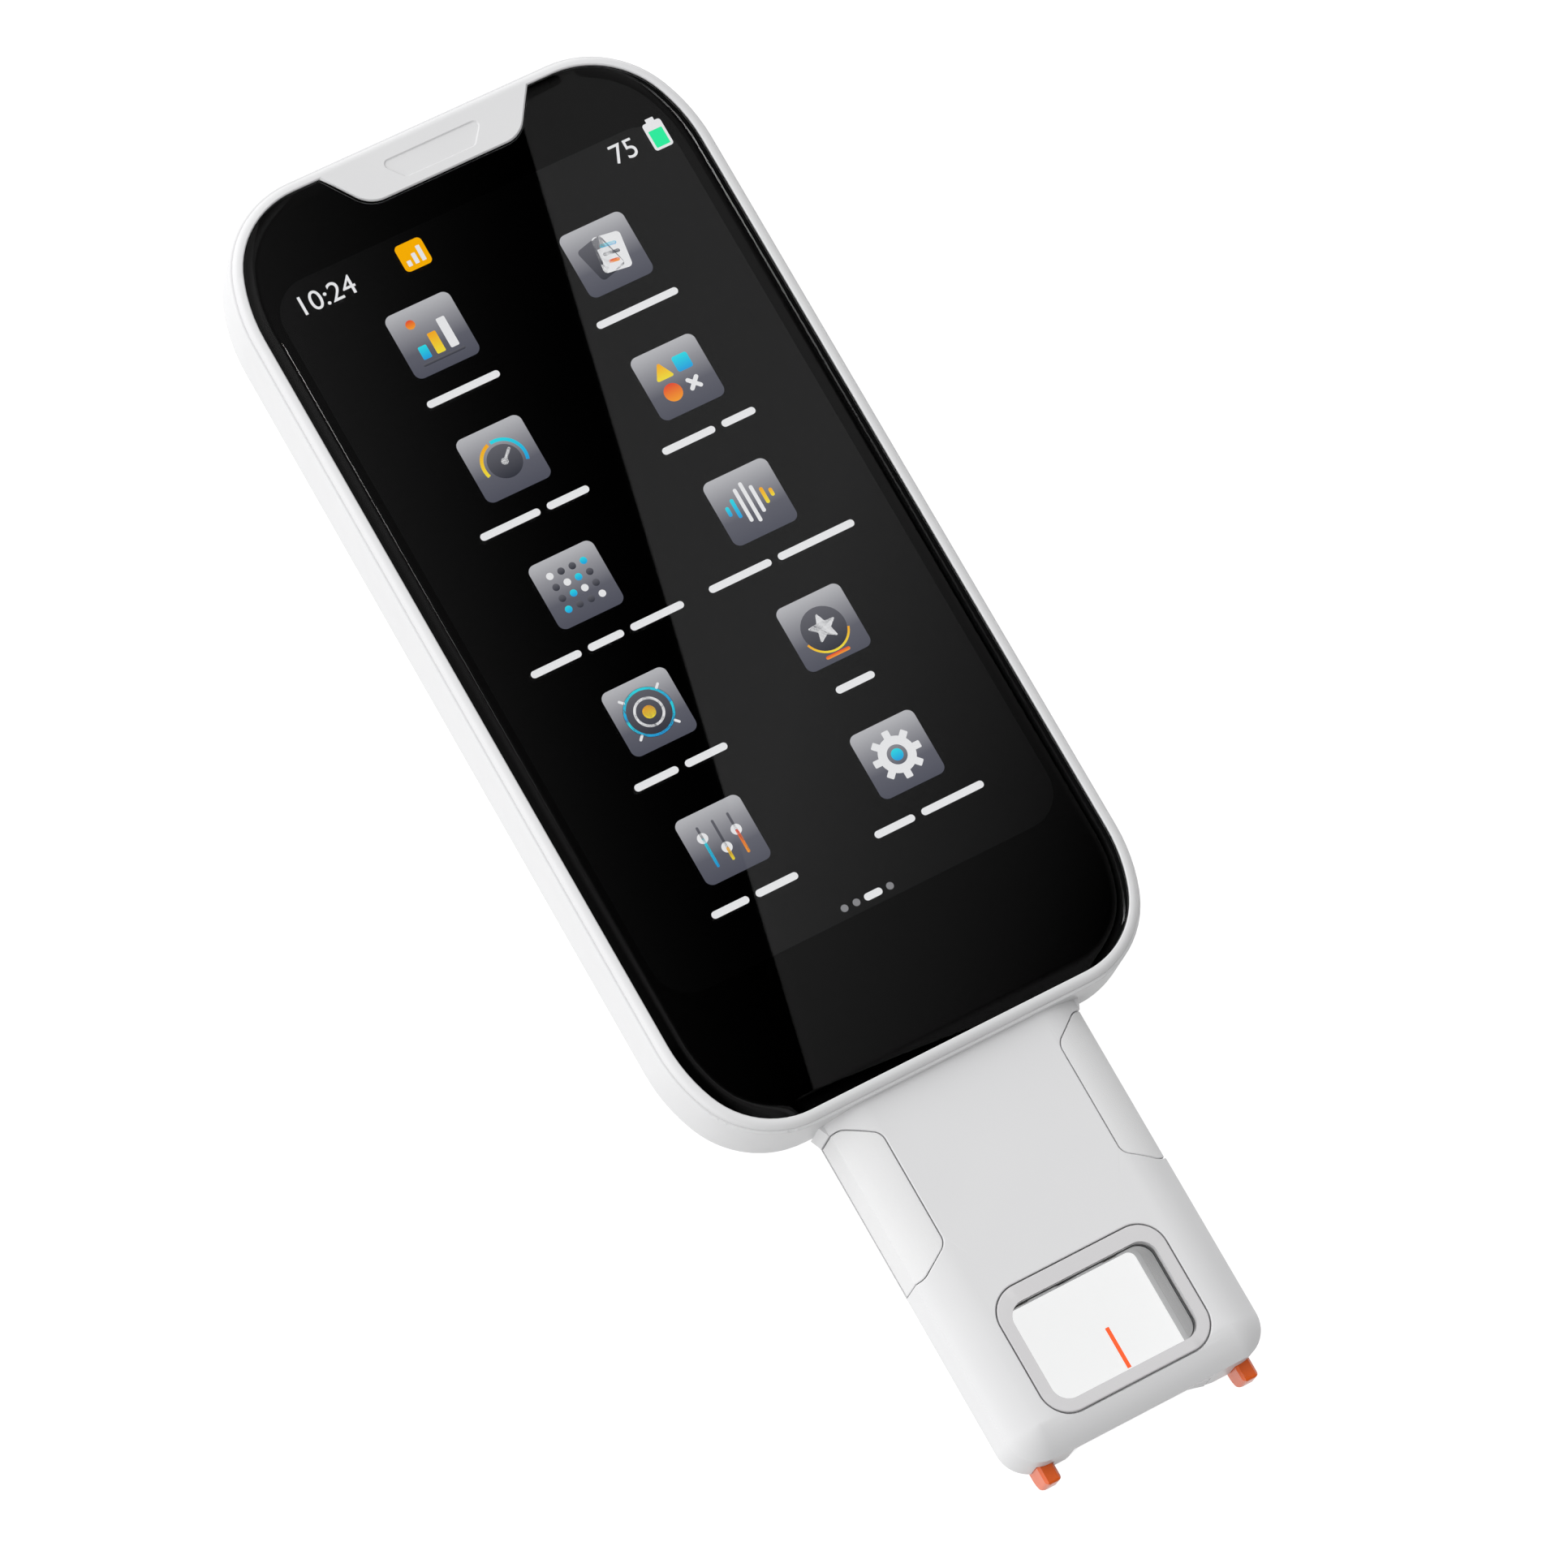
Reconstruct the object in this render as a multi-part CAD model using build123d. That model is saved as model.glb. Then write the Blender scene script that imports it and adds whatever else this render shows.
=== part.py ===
from build123d import *
import math
import os

# Handheld translator: a screen body with a scanning head below it, lying on its back.
# Origin: on the flat back, at the middle of the screen body.
# +X to the right of someone reading the screen, +Y to the top of the screen, +Z out of the screen.
# Millimetres throughout.

# Screen body
BODY_WIDTH = 58.0
BODY_LENGTH = 119.4
BODY_DEPTH = 10.5
RIM_WIDTH = 1.45
RIM_HEIGHT = 0.95  # the rounded rim stands on a shoulder of the side wall
RIM_STEP = 0.33
RIM_RADIUS = 0.9
RIM_CHAMFER = 0.12  # on its inner edge
SHOULDER_RADIUS = 0.3
BACK_RADIUS = 3.0
CORNER_SHORT = 11.2  # how far an upper corner of the glass runs along the short side
CORNER_LONG = 14.0  # and along the long side
LOW_CORNER_SHORT = 10.3  # the same for a lower corner
LOW_CORNER_LONG = 13.1
CORNER_SPLIT = 68.0  # degrees turned by the tighter of a corner's two arcs
PART_LINE = 3.2  # height of the joint between the rear cover and the front housing
FLOOR = 1.2
LIP_WIDTH = 0.8
LIP_HEIGHT = 0.6

# Screen
GLASS_THICKNESS = 0.9
GLASS_EDGE_WIDTH = 1.5  # the sloping edge of the glass
GLASS_EDGE_DROP = 0.28
SCREEN_SIDE_MARGIN = 1.3
SCREEN_TOP_MARGIN = 6.2
SCREEN_LOW_MARGIN = 13.7
SCREEN_THICKNESS = 1.6
PLATE_THICKNESS = 0.5
PLATE_SIDE_MARGIN = 2.3
FRAME_THICKNESS = 1.0

# Tab that dips into the top of the glass, with a shallow earpiece panel
TAB_TOP_WIDTH = 26.2
TAB_LOW_WIDTH = 19.0
TAB_DROP = 5.15
TAB_RADIUS = 3.6
TAB_EDGE = 0.2
PANEL_TOP_WIDTH = 12.7
PANEL_LOW_WIDTH = 8.6
PANEL_HEIGHT = 2.5
PANEL_FROM_TOP = 1.3
PANEL_RADIUS = 0.5
PANEL_DEPTH = 0.15

# Case screws and their rubber plugs
CASE_SCREW_X = 19.0
CASE_SCREW_TOP_MARGIN = 3.25
CASE_SCREW_LOW_MARGIN = 6.25
BOSS_RADIUS = 2.4
SCREW_RADIUS = 0.8
SCREW_HEAD_RADIUS = 1.6
SCREW_HEAD_HEIGHT = 0.75
PLUG_HEIGHT = 0.85
BOSS_JOINT = 4.8

# Electronics in the screen body
BOARD_LENGTH = 37.5
BOARD_THICKNESS = 0.8
BOARD_HEIGHT = 3.0
BOARD_TOP_MARGIN = 6.75
BOARD_SIDE_MARGIN = 1.95
BOARD_SCREW_MARGIN = 3.0
BOARD_SCREW_RADIUS = 0.75
BOARD_SCREW_HEAD = 1.4
SHIELD_HEIGHT = 1.8
PROCESSOR_CAN = (19.0, 16.8)
RADIO_CAN = (11.0, 15.0)
CAN_SPACING = 4.0  # between the cans, and from the centre line to each
CAN_MARGIN = 6.0
BATTERY_THICKNESS = 4.3
BATTERY_LOW_MARGIN = 12.25
SPEAKER_WIDTH = 12.0
SPEAKER_LENGTH = 22.0
SPEAKER_HEIGHT = 4.0
GRILLE_PITCH = 2.8
GRILLE_HOLE_RADIUS = 0.8
GRILLE_COLUMNS = 2
GRILLE_ROWS = 6
FLEX_THICKNESS = 0.15
FLEX_WIDTH = 8.0
FLEX_SPACING = 8.0  # from the centre line to the display's cable
FLEX_LANDING = 5.6

# USB-C socket and microphone hole in the top wall
USB_WIDTH = 8.94
USB_HEIGHT = 3.26
USB_DEPTH = 7.3
USB_SHELL = 0.3
USB_TONGUE_WIDTH = 6.7
USB_TONGUE_THICKNESS = 0.7
MIC_HOLE_RADIUS = 0.5
MIC_X = -12.0

# Side keys
KEY_HEIGHT = 2.4
KEY_PROUD = 0.45
KEY_ABOVE_LIP = 0.15
KEY_FLANGE = 0.6
KEY_FLANGE_LIP = 0.3
KEY_GAP = 0.1
POWER_LENGTH = 9.0
POWER_FROM_TOP = 20.5
POWER_TRAVEL = 0.3
ROCKER_LENGTH = 18.0
ROCKER_FLANGE = 6.0
ROCKER_GAP = 0.2
ROCKER_SPACING = 17.0  # from the middle of the power button to the middle of the rocker
ROCKER_SWITCH_SPACING = 12.0
SWITCH_LENGTH = 3.6
SWITCH_WIDTH = 1.5
SWITCH_HEIGHT = 2.6

# Strap loop in the lower right corner
STRAP_ANGLE = -37.0
STRAP_LOOP_RADIUS = 2.7
STRAP_BORE_RADIUS = 0.85
STRAP_FROM_FRONT = 3.3
STRAP_WALL = 1.9

# Scanning head
HEAD_WIDTH = 31.5
HEAD_LENGTH = 42.9
HEAD_DEPTH = 8.5
HEAD_WALL = 1.5
HEAD_BACK_RADIUS = 1.6
HEAD_CORNER = 3.8
CROWN_RUN = 4.8  # width of the curved flank on the front of the head
CROWN_DROP = 2.1
NECK_FLARE = 0.6

# Grip inlays on the head's flanks, measured from the screen body and from the centre line
GRIP_INNER = 11.15
GRIP_START = 1.35
GRIP_SHOULDER = 3.85
GRIP_HEEL = 17.5
GRIP_END = 19.7
GRIP_THICKNESS = 0.7
GRIP_RECESS = 0.1
GRIP_GAP = 0.05
GRIP_CORNER = 1.6
GRIP_SQUARE = 1.1  # how far the ends run square to the side before they slant

# Sighting window through the head
WINDOW_WIDTH = 17.9
WINDOW_HEIGHT = 11.8
WINDOW_FROM_TIP = 4.4
WINDOW_CORNER = 2.0
WINDOW_BACK_CORNER = 0.9
WINDOW_LEAN = 0.3  # how far the walls lean outwards on their way to the back
WINDOW_TOP_LEAN = 0.65  # and the upper wall
BEZEL_WIDTH = 1.4
BEZEL_TOP_WIDTH = 1.85
BEZEL_CORNER = 3.3
BEZEL_THICKNESS = 0.9
BEZEL_GROOVE = 0.15
SLEEVE_WALL = 0.8
SLEEVE_END = 2.1
PANE_DEPTH = 0.9
PANE_THICKNESS = 1.0
MARK_WIDTH = 0.45
MARK_LENGTH = 4.9
MARK_FROM_LOW = 0.25
MARK_THICKNESS = 0.06

# Scan window across the tip
SCAN_ARCH_RADIUS = 31.0
SCAN_ARCH_DEPTH = 1.45
SCAN_WINDOW_THICKNESS = 1.2
SCAN_WINDOW_WIDTH = 17.2
SCAN_LOW = 0.2
SCAN_HIGH = 5.3

# Trigger fork with its two feet
FOOT_WIDTH = 1.9
FOOT_SIDE_MARGIN = 2.4
FOOT_REACH = 2.0
FOOT_LOW = 0.5
FOOT_HIGH = 4.2
FOOT_HEEL_RADIUS = 1.8
FOOT_TOE_RADIUS = 0.35
FOOT_CORNER = 0.55
FOOT_EDGE = 0.3
STEM_LOW = 1.6
LEG_TOP = 5.9
YOKE_LOW = 5.3
YOKE_HIGH = 6.6
YOKE_WIDTH = 24.0
YOKE_HEIGHT = 2.5
TRIGGER_TRAVEL = 1.0
FORK_GAP = 0.1
TAB_X = 6.5
SPRING_SPAN = 12.4
SPRING_RISE = 2.3
SPRING_THICKNESS = 0.2
SPRING_HEIGHT = 1.1

# Camera, lamps and board in the head
CAMERA_WIDTH = 6.8
CAMERA_LENGTH = 4.6
CAMERA_HEIGHT = 2.9
BARREL_RADIUS = 1.35
LENS_RADIUS = 1.0
LENS_THICKNESS = 0.45
CAMERA_Z = 3.75
LAMP_X = 5.6
LAMP_WIDTH = 1.6
LAMP_HEIGHT = 1.3
LAMP_Z = 3.0
HEAD_BOARD_WIDTH = 18.0
HEAD_BOARD_LENGTH = 15.0
HEAD_BOARD_NECK = 15.0
HEAD_SCREW_X = 10.2
HEAD_SCREW_FROM_BODY = 6.3
HEAD_BOSS_RADIUS = 2.2
HEAD_BOSS_JOINT = 4.2

# Tongue that holds the head in the screen body
TONGUE_WIDTH = 23.0
TONGUE_LENGTH = 9.2
TONGUE_THICKNESS = 1.4
TONGUE_SCREW_X = 8.0
TONGUE_SCREW_MARGIN = 4.0
PASSAGE_TOP = 4.4

# Soft edges along the seams of the grips and of the window ring
SEAM_RADIUS = 0.15

# Clearances
SEAT_GAP = 0.05
SLIDE_GAP = 0.1

# How far a boss, rib or post is sunk into the wall it stands on
ROOT = 0.2

# Levels and limits worked out from the sizes above
half_width = BODY_WIDTH / 2
half_length = BODY_LENGTH / 2
glass_x = half_width - RIM_WIDTH
glass_y = half_length - RIM_WIDTH
rim_flat = RIM_WIDTH - RIM_STEP - RIM_RADIUS
glass_low = BODY_DEPTH - GLASS_THICKNESS
frame_low = glass_low - FRAME_THICKNESS
screen_high = glass_low - SEAT_GAP
screen_low = screen_high - SCREEN_THICKNESS
plate_low = screen_low - SEAT_GAP - PLATE_THICKNESS
screen_x = glass_x - SCREEN_SIDE_MARGIN
screen_span = (SCREEN_LOW_MARGIN - glass_y, glass_y - SCREEN_TOP_MARGIN)
lip_top = PART_LINE + LIP_HEIGHT
key_z = lip_top + KEY_ABOVE_LIP + KEY_FLANGE_LIP + KEY_HEIGHT / 2
screw_top_y = glass_y - CASE_SCREW_TOP_MARGIN
screw_low_y = CASE_SCREW_LOW_MARGIN - glass_y
board_low = BOARD_HEIGHT
board_high = BOARD_HEIGHT + BOARD_THICKNESS
board_x = glass_x - BOARD_SIDE_MARGIN
board_span = (glass_y - BOARD_TOP_MARGIN - BOARD_LENGTH, glass_y - BOARD_TOP_MARGIN)
power_y = half_length - POWER_FROM_TOP
rocker_y = power_y - ROCKER_SPACING
key_back = glass_x - KEY_GAP - KEY_FLANGE
rocker_pivot = glass_x - ROCKER_GAP - KEY_FLANGE - SEAT_GAP
nub_back = key_back - 0.45
switch_front = nub_back - POWER_TRAVEL - SEAT_GAP

head_start = -half_length
head_end = head_start - HEAD_LENGTH
head_x = HEAD_WIDTH / 2
head_roof = HEAD_DEPTH - HEAD_WALL
crown_radius = (CROWN_RUN**2 + CROWN_DROP**2) / (2 * CROWN_DROP)
crease = HEAD_DEPTH - CROWN_DROP
window_x = WINDOW_WIDTH / 2
window_low = head_end + WINDOW_FROM_TIP
window_high = window_low + WINDOW_HEIGHT
sleeve_top = window_high + WINDOW_TOP_LEAN + SLEEVE_WALL
bezel_seat = HEAD_DEPTH - BEZEL_THICKNESS
pane_high = HEAD_DEPTH - PANE_DEPTH
pane_low = pane_high - PANE_THICKNESS
foot_x = (head_x - FOOT_SIDE_MARGIN - FOOT_WIDTH, head_x - FOOT_SIDE_MARGIN)
yoke_low_y = sleeve_top + SEAT_GAP
yoke_high_y = yoke_low_y + YOKE_HEIGHT
head_board_low = FLOOR + 0.15
head_board_high = head_board_low + BOARD_THICKNESS
camera_front = sleeve_top + 0.3


def block(x, y, z):
    """Box between three (low, high) pairs."""
    low, high = zip(x, y, z)
    middle = [(a + b) / 2 for a, b in zip(low, high)]
    return Pos(*middle) * Box(*[b - a for a, b in zip(low, high)])


def centred(half, y, z):
    """Box that reaches as far left of the centre plane as right of it."""
    return block((-half, half), y, z)


def bar(x, y, z, radius):
    """Upright round bar between two heights."""
    return Pos(x, y, (z[0] + z[1]) / 2) * Cylinder(radius, z[1] - z[0])


def both_sides(part):
    """A part and its mirror image across the centre plane."""
    return part + mirror(part, Plane.YZ)


def slab(face, low, high):
    """A plan shape extruded between two heights."""
    return extrude(Pos(0, 0, low) * face, high - low, dir=(0, 0, 1))


def corner_radii(short, long):
    """The two radii that take a corner from its short to its long side without a kink."""
    s = math.sin(math.radians(CORNER_SPLIT))
    c = math.cos(math.radians(CORNER_SPLIT))
    scale = s * c - (1 - s) * (1 - c)
    return (short * c - long * (1 - s)) / scale, (long * s - short * (1 - c)) / scale


def quarter_outline(grow, short, long):
    """Upper right quarter of the glass opening, grown outwards, with a corner of given lengths."""
    small, large = corner_radii(short + grow, long + grow)
    end = Line((0, glass_y + grow), (glass_x - short, glass_y + grow))
    first = JernArc(end @ 1, (1, 0), small, -CORNER_SPLIT)
    second = JernArc(first @ 1, first % 1, large, CORNER_SPLIT - 90)
    return Curve() + [end, first, second, Line(second @ 1, (glass_x + grow, 0))]


def outline(grow):
    """Plan shape of the glass opening, grown outwards by a distance."""
    upper = quarter_outline(grow, CORNER_SHORT, CORNER_LONG)
    half = upper + mirror(quarter_outline(grow, LOW_CORNER_SHORT, LOW_CORNER_LONG), Plane.XZ)
    return make_face((half + mirror(half, Plane.YZ)).edges())


def case_screw_places():
    """Plan positions of the four case screws."""
    return [(x, y) for x in (-CASE_SCREW_X, CASE_SCREW_X) for y in (screw_low_y, screw_top_y)]


def board_screw_places():
    """Plan positions of the main board's screws."""
    ends = (board_span[0] + BOARD_SCREW_MARGIN, board_span[1] - BOARD_SCREW_MARGIN)
    x = board_x - BOARD_SCREW_MARGIN - 0.6
    return [(side * x, y) for side in (-1, 1) for y in ends]


def tab_shape(grow):
    """Plan shape of the tab in the top of the glass."""
    top, low = TAB_TOP_WIDTH / 2 + grow, TAB_LOW_WIDTH / 2 + grow
    high_y, low_y = glass_y + rim_flat, glass_y - TAB_DROP - grow
    points = [(-top, glass_y), (-low, low_y), (low, low_y), (top, glass_y)]
    face = make_face(Polyline(*points, (top, high_y), (-top, high_y), close=True))
    return fillet(face.vertices().group_by(Axis.Y)[0], TAB_RADIUS)


def panel_shape():
    """Plan shape of the floor of the shallow earpiece panel in the tab."""
    high = glass_y - PANEL_FROM_TOP
    low = high - PANEL_HEIGHT
    top, bottom = PANEL_TOP_WIDTH / 2, PANEL_LOW_WIDTH / 2
    face = make_face(Polyline((-top, high), (-bottom, low), (bottom, low), (top, high), close=True))
    return fillet(face.vertices(), PANEL_RADIUS)


def side_slot(y, length, height, depth):
    """Rounded bar through the right wall, for a side key or its opening."""
    plane = Plane(origin=(depth[0], y, key_z), x_dir=(0, 1, 0), z_dir=(1, 0, 0))
    return extrude(plane * SlotOverall(length, height), depth[1] - depth[0])


def top_slot(width, height, depth, middle):
    """Rounded bar along Y in the top wall, for the USB socket or its opening."""
    plane = Plane(origin=(0, depth[0], middle), x_dir=(-1, 0, 0), z_dir=(0, 1, 0))
    return extrude(plane * SlotOverall(width, height), depth[1] - depth[0])


usb_z = board_high + SEAT_GAP + USB_HEIGHT / 2
mic_z = board_high + 0.7


def strap_centre():
    """Middle of the strap loop, on the outside of the lower right corner."""
    small, _ = corner_radii(LOW_CORNER_SHORT, LOW_CORNER_LONG)
    turn = math.radians(STRAP_ANGLE)
    reach = small + RIM_WIDTH
    x = glass_x - LOW_CORNER_SHORT + reach * math.cos(turn)
    return x, small - glass_y + reach * math.sin(turn)


def rim_and_wall():
    """The side wall with its shoulder, the rounded rim on it and the glass opening."""
    wall = slab(outline(RIM_WIDTH), PART_LINE, BODY_DEPTH - RIM_HEIGHT)
    rim = slab(outline(RIM_WIDTH - RIM_STEP), PART_LINE, BODY_DEPTH)
    shell = fillet(wall.edges().group_by(Axis.Z)[-1], SHOULDER_RADIUS)
    shell += fillet(rim.edges().group_by(Axis.Z)[-1], RIM_RADIUS)
    chamfer_low = Pos(0, 0, BODY_DEPTH - RIM_CHAMFER) * outline(0)
    shell -= loft([chamfer_low, Pos(0, 0, BODY_DEPTH) * outline(RIM_CHAMFER)], ruled=True)
    return shell - slab(outline(0), glass_low, BODY_DEPTH + 1)


def front_housing():
    """Rim, side walls and screen frame in one moulding, with the tab at its top."""
    shell = rim_and_wall()
    shell -= slab(outline(0), PART_LINE - 1, frame_low)
    shell -= centred(screen_x + SLIDE_GAP, (screen_span[0] - SLIDE_GAP, screen_span[1] + SLIDE_GAP),
                     (frame_low - 1, glass_low + 1))
    tab = slab(tab_shape(0), frame_low + FRAME_THICKNESS / 2, BODY_DEPTH)
    tab_edge = tab.faces().sort_by(Axis.Z)[-1].edges().filter_by(lambda e: e.center().Y < glass_y)
    shell += chamfer(tab_edge, TAB_EDGE)
    panel = Pos(0, 0, BODY_DEPTH - PANEL_DEPTH) * panel_shape()
    shell -= loft([panel, Pos(0, 0, BODY_DEPTH) * offset(panel_shape(), PANEL_DEPTH)], ruled=True)
    for x, y in case_screw_places():
        shell += bar(x, y, (BOSS_JOINT + SEAT_GAP, frame_low + ROOT), BOSS_RADIUS)
        shell -= bar(x, y, (BOSS_JOINT, frame_low - 1), SCREW_RADIUS + SEAT_GAP)
    x, y = strap_centre()
    strap_z = BODY_DEPTH - STRAP_FROM_FRONT
    post_radius = STRAP_LOOP_RADIUS + STRAP_WALL
    shell += bar(x, y, (strap_z - STRAP_WALL, frame_low + ROOT), post_radius) & slab(
        outline(RIM_WIDTH / 2), 0, BODY_DEPTH)
    shell -= Pos(x, y, strap_z) * Torus(STRAP_LOOP_RADIUS, STRAP_BORE_RADIUS)
    shell -= side_slot(power_y, POWER_LENGTH + 2 * KEY_GAP, KEY_HEIGHT + 2 * KEY_GAP,
                       (glass_x - 1, half_width + 1))
    shell -= side_slot(rocker_y, ROCKER_LENGTH + 2 * ROCKER_GAP, KEY_HEIGHT + 2 * KEY_GAP,
                       (glass_x - 1, half_width + 1))
    shell -= top_slot(USB_WIDTH + 2 * SLIDE_GAP, USB_HEIGHT + 2 * SLIDE_GAP,
                      (glass_y - 1, half_length + 1), usb_z)
    mic_plane = Plane(origin=(MIC_X, glass_y - 1, mic_z), z_dir=(0, 1, 0))
    shell -= extrude(mic_plane * Circle(MIC_HOLE_RADIUS), RIM_WIDTH + 2)
    shell -= centred(TONGUE_WIDTH / 2 + SLIDE_GAP, (head_start - 1, 1 - glass_y), (0, PASSAGE_TOP))
    return shell


def neck_pad():
    """Length of the head's own section, where the back stays flat into the head."""
    pad = centred(head_x, (head_start, head_start + BACK_RADIUS + 1), (0, PART_LINE))
    edges = pad.edges().filter_by(Axis.Y).group_by(Axis.Z)[0]
    return fillet(edges, HEAD_BACK_RADIUS)


def grille_places():
    """Plan positions of the speaker holes."""
    middle_y = speaker_span[0] + SPEAKER_LENGTH / 2
    columns = [(i - (GRILLE_COLUMNS - 1) / 2) * GRILLE_PITCH for i in range(GRILLE_COLUMNS)]
    rows = [(i - (GRILLE_ROWS - 1) / 2) * GRILLE_PITCH for i in range(GRILLE_ROWS)]
    return [(speaker_x[0] + SPEAKER_WIDTH / 2 + x, middle_y + y) for x in columns for y in rows]


speaker_x = (glass_x - 2.55 - SPEAKER_WIDTH, glass_x - 2.55)
battery_x = (2.55 - glass_x, speaker_x[0] - 3)
battery_y = (BATTERY_LOW_MARGIN - glass_y, board_span[0] - 2)
speaker_span = (battery_y[0] + 2, battery_y[0] + 2 + SPEAKER_LENGTH)


def rear_cover():
    """Shallow tray with a lip, screw bosses, board posts, the rocker's rib and the grille."""
    shell = slab(outline(RIM_WIDTH), 0, PART_LINE)
    shell = fillet(shell.edges().group_by(Axis.Z)[0], BACK_RADIUS)
    shell += neck_pad()
    shell += slab(outline(-SLIDE_GAP), FLOOR, lip_top)
    shell -= slab(outline(-SLIDE_GAP - LIP_WIDTH), FLOOR, lip_top + 1)
    for x, y in case_screw_places():
        shell += bar(x, y, (FLOOR - ROOT, BOSS_JOINT), BOSS_RADIUS)
        shell -= bar(x, y, (-1, PLUG_HEIGHT + SCREW_HEAD_HEIGHT + SEAT_GAP), SCREW_HEAD_RADIUS + SLIDE_GAP)
        shell -= bar(x, y, (0, BOSS_JOINT + 1), SCREW_RADIUS + SLIDE_GAP)
    for x, y in board_screw_places():
        shell += bar(x, y, (FLOOR - ROOT, board_low - SEAT_GAP), BOARD_SCREW_HEAD + 0.2)
        shell -= bar(x, y, (FLOOR + 0.2, board_low), BOARD_SCREW_RADIUS + SEAT_GAP)
    shell += block((rocker_pivot - 1, rocker_pivot), (rocker_y - 0.6, rocker_y + 0.6),
                   (FLOOR - ROOT, key_z + KEY_HEIGHT / 2))
    for x, y in grille_places():
        shell -= bar(x, y, (-1, FLOOR + 1), GRILLE_HOLE_RADIUS)
    for x, y in tongue_screw_places():
        shell -= bar(x, y, (FLOOR / 3, FLOOR + 1), BOARD_SCREW_RADIUS + SEAT_GAP)
    shell -= centred(TONGUE_WIDTH / 2 + SLIDE_GAP, (head_start - 1, 2.5 - glass_y), (FLOOR, lip_top + 1))
    return shell


def cover_glass():
    """Glass with a sloping edge, cut out for the tab."""
    edge_z = BODY_DEPTH - GLASS_EDGE_DROP
    glass = slab(outline(-SEAT_GAP), glass_low, edge_z)
    rim = Pos(0, 0, edge_z) * outline(-SEAT_GAP)
    glass += loft([rim, Pos(0, 0, BODY_DEPTH) * outline(-GLASS_EDGE_WIDTH)], ruled=True)
    return glass - slab(tab_shape(SEAT_GAP), glass_low - 1, BODY_DEPTH + 1)


def display_panel():
    """Screen module under the glass."""
    panel = centred(screen_x, screen_span, (screen_low, screen_high))
    return fillet(panel.edges().filter_by(Axis.Z), 1.0)


def screen_plate():
    """Metal plate behind the screen."""
    plate = centred(screen_x - PLATE_SIDE_MARGIN, screen_span, (plate_low, plate_low + PLATE_THICKNESS))
    return fillet(plate.edges().filter_by(Axis.Z), 1.0)


def case_screws():
    """Four pan head screws that hold the rear cover to the housing."""
    screws = Part()
    for x, y in case_screw_places():
        head_top = PLUG_HEIGHT + SCREW_HEAD_HEIGHT
        head = bar(x, y, (PLUG_HEIGHT, head_top), SCREW_HEAD_RADIUS)
        head -= Pos(x, y, PLUG_HEIGHT) * Box(SCREW_HEAD_RADIUS, 0.35, 0.6)
        head -= Pos(x, y, PLUG_HEIGHT) * Box(0.35, SCREW_HEAD_RADIUS, 0.6)
        screws += head + bar(x, y, (head_top, frame_low - 1.1), SCREW_RADIUS)
    return screws


def screw_plugs():
    """Rubber plugs that close the screw holes in the back."""
    plugs = Part()
    for x, y in case_screw_places():
        plug = bar(x, y, (0.03, PLUG_HEIGHT - SEAT_GAP), SCREW_HEAD_RADIUS + SEAT_GAP)
        plugs += chamfer(plug.edges().group_by(Axis.Z)[0], 0.15)
    return plugs


def main_board():
    """Main circuit board."""
    board = centred(board_x, board_span, (board_low, board_high))
    board = fillet(board.edges().filter_by(Axis.Z), 1.5)
    for x, y in board_screw_places():
        board -= bar(x, y, (0, BODY_DEPTH), BOARD_SCREW_RADIUS + SLIDE_GAP)
    return board


def board_screws():
    """Screws that hold the main board to its posts."""
    screws = Part()
    for x, y in board_screw_places():
        screws += bar(x, y, (board_high, board_high + 0.7), BOARD_SCREW_HEAD)
        screws += bar(x, y, (FLOOR + 0.3, board_high), BOARD_SCREW_RADIUS)
    return screws


def board_shields():
    """Two pressed shield cans over the processor and the radio."""
    z = (board_high, board_high + SHIELD_HEIGHT)
    low = board_span[0] + CAN_MARGIN
    width, length = PROCESSOR_CAN
    processor = block((CAN_SPACING - width, CAN_SPACING), (low, low + length), z)
    width, length = RADIO_CAN
    radio_low = low + PROCESSOR_CAN[1] / 2
    radio = block((2 * CAN_SPACING, 2 * CAN_SPACING + width), (radio_low, radio_low + length), z)
    cans = Part()
    for can in (processor, radio):
        cans += fillet(can.edges().group_by(Axis.Z)[-1], 0.4)
    return cans


def battery():
    """Flat lithium pouch cell."""
    cell = block(battery_x, battery_y, (FLOOR + SEAT_GAP, FLOOR + SEAT_GAP + BATTERY_THICKNESS))
    return fillet(cell.edges().filter_by(Axis.Y), 1.5)


def speaker():
    """Boxed speaker with its mouth over the grille."""
    box = block(speaker_x, speaker_span, (FLOOR + SEAT_GAP, FLOOR + SEAT_GAP + SPEAKER_HEIGHT))
    box = fillet(box.edges().filter_by(Axis.Z), 1.5)
    mouth_x = (speaker_x[0] + 2, speaker_x[1] - 2)
    mouth_y = (speaker_span[0] + 2, speaker_span[1] - 2)
    return box - block(mouth_x, mouth_y, (0, FLOOR + 0.6))


def usb_port():
    """USB-C socket with an open mouth and the contact tongue in its middle."""
    span = (half_length - USB_DEPTH, half_length - SEAT_GAP)
    shell = top_slot(USB_WIDTH, USB_HEIGHT, span, usb_z)
    inner = (span[0] + 1, half_length + 1)
    shell -= top_slot(USB_WIDTH - 2 * USB_SHELL, USB_HEIGHT - 2 * USB_SHELL, inner, usb_z)
    half = USB_TONGUE_THICKNESS / 2
    tongue_y = (span[0] + 0.5, half_length - 1)
    return shell + centred(USB_TONGUE_WIDTH / 2, tongue_y, (usb_z - half, usb_z + half))


def microphone():
    """Microphone capsule on the board, behind its hole."""
    y = (board_span[1] - 3.5, board_span[1] - 0.5)
    return block((MIC_X - 1.5, MIC_X + 1.5), y, (board_high, board_high + 1.1))


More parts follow.
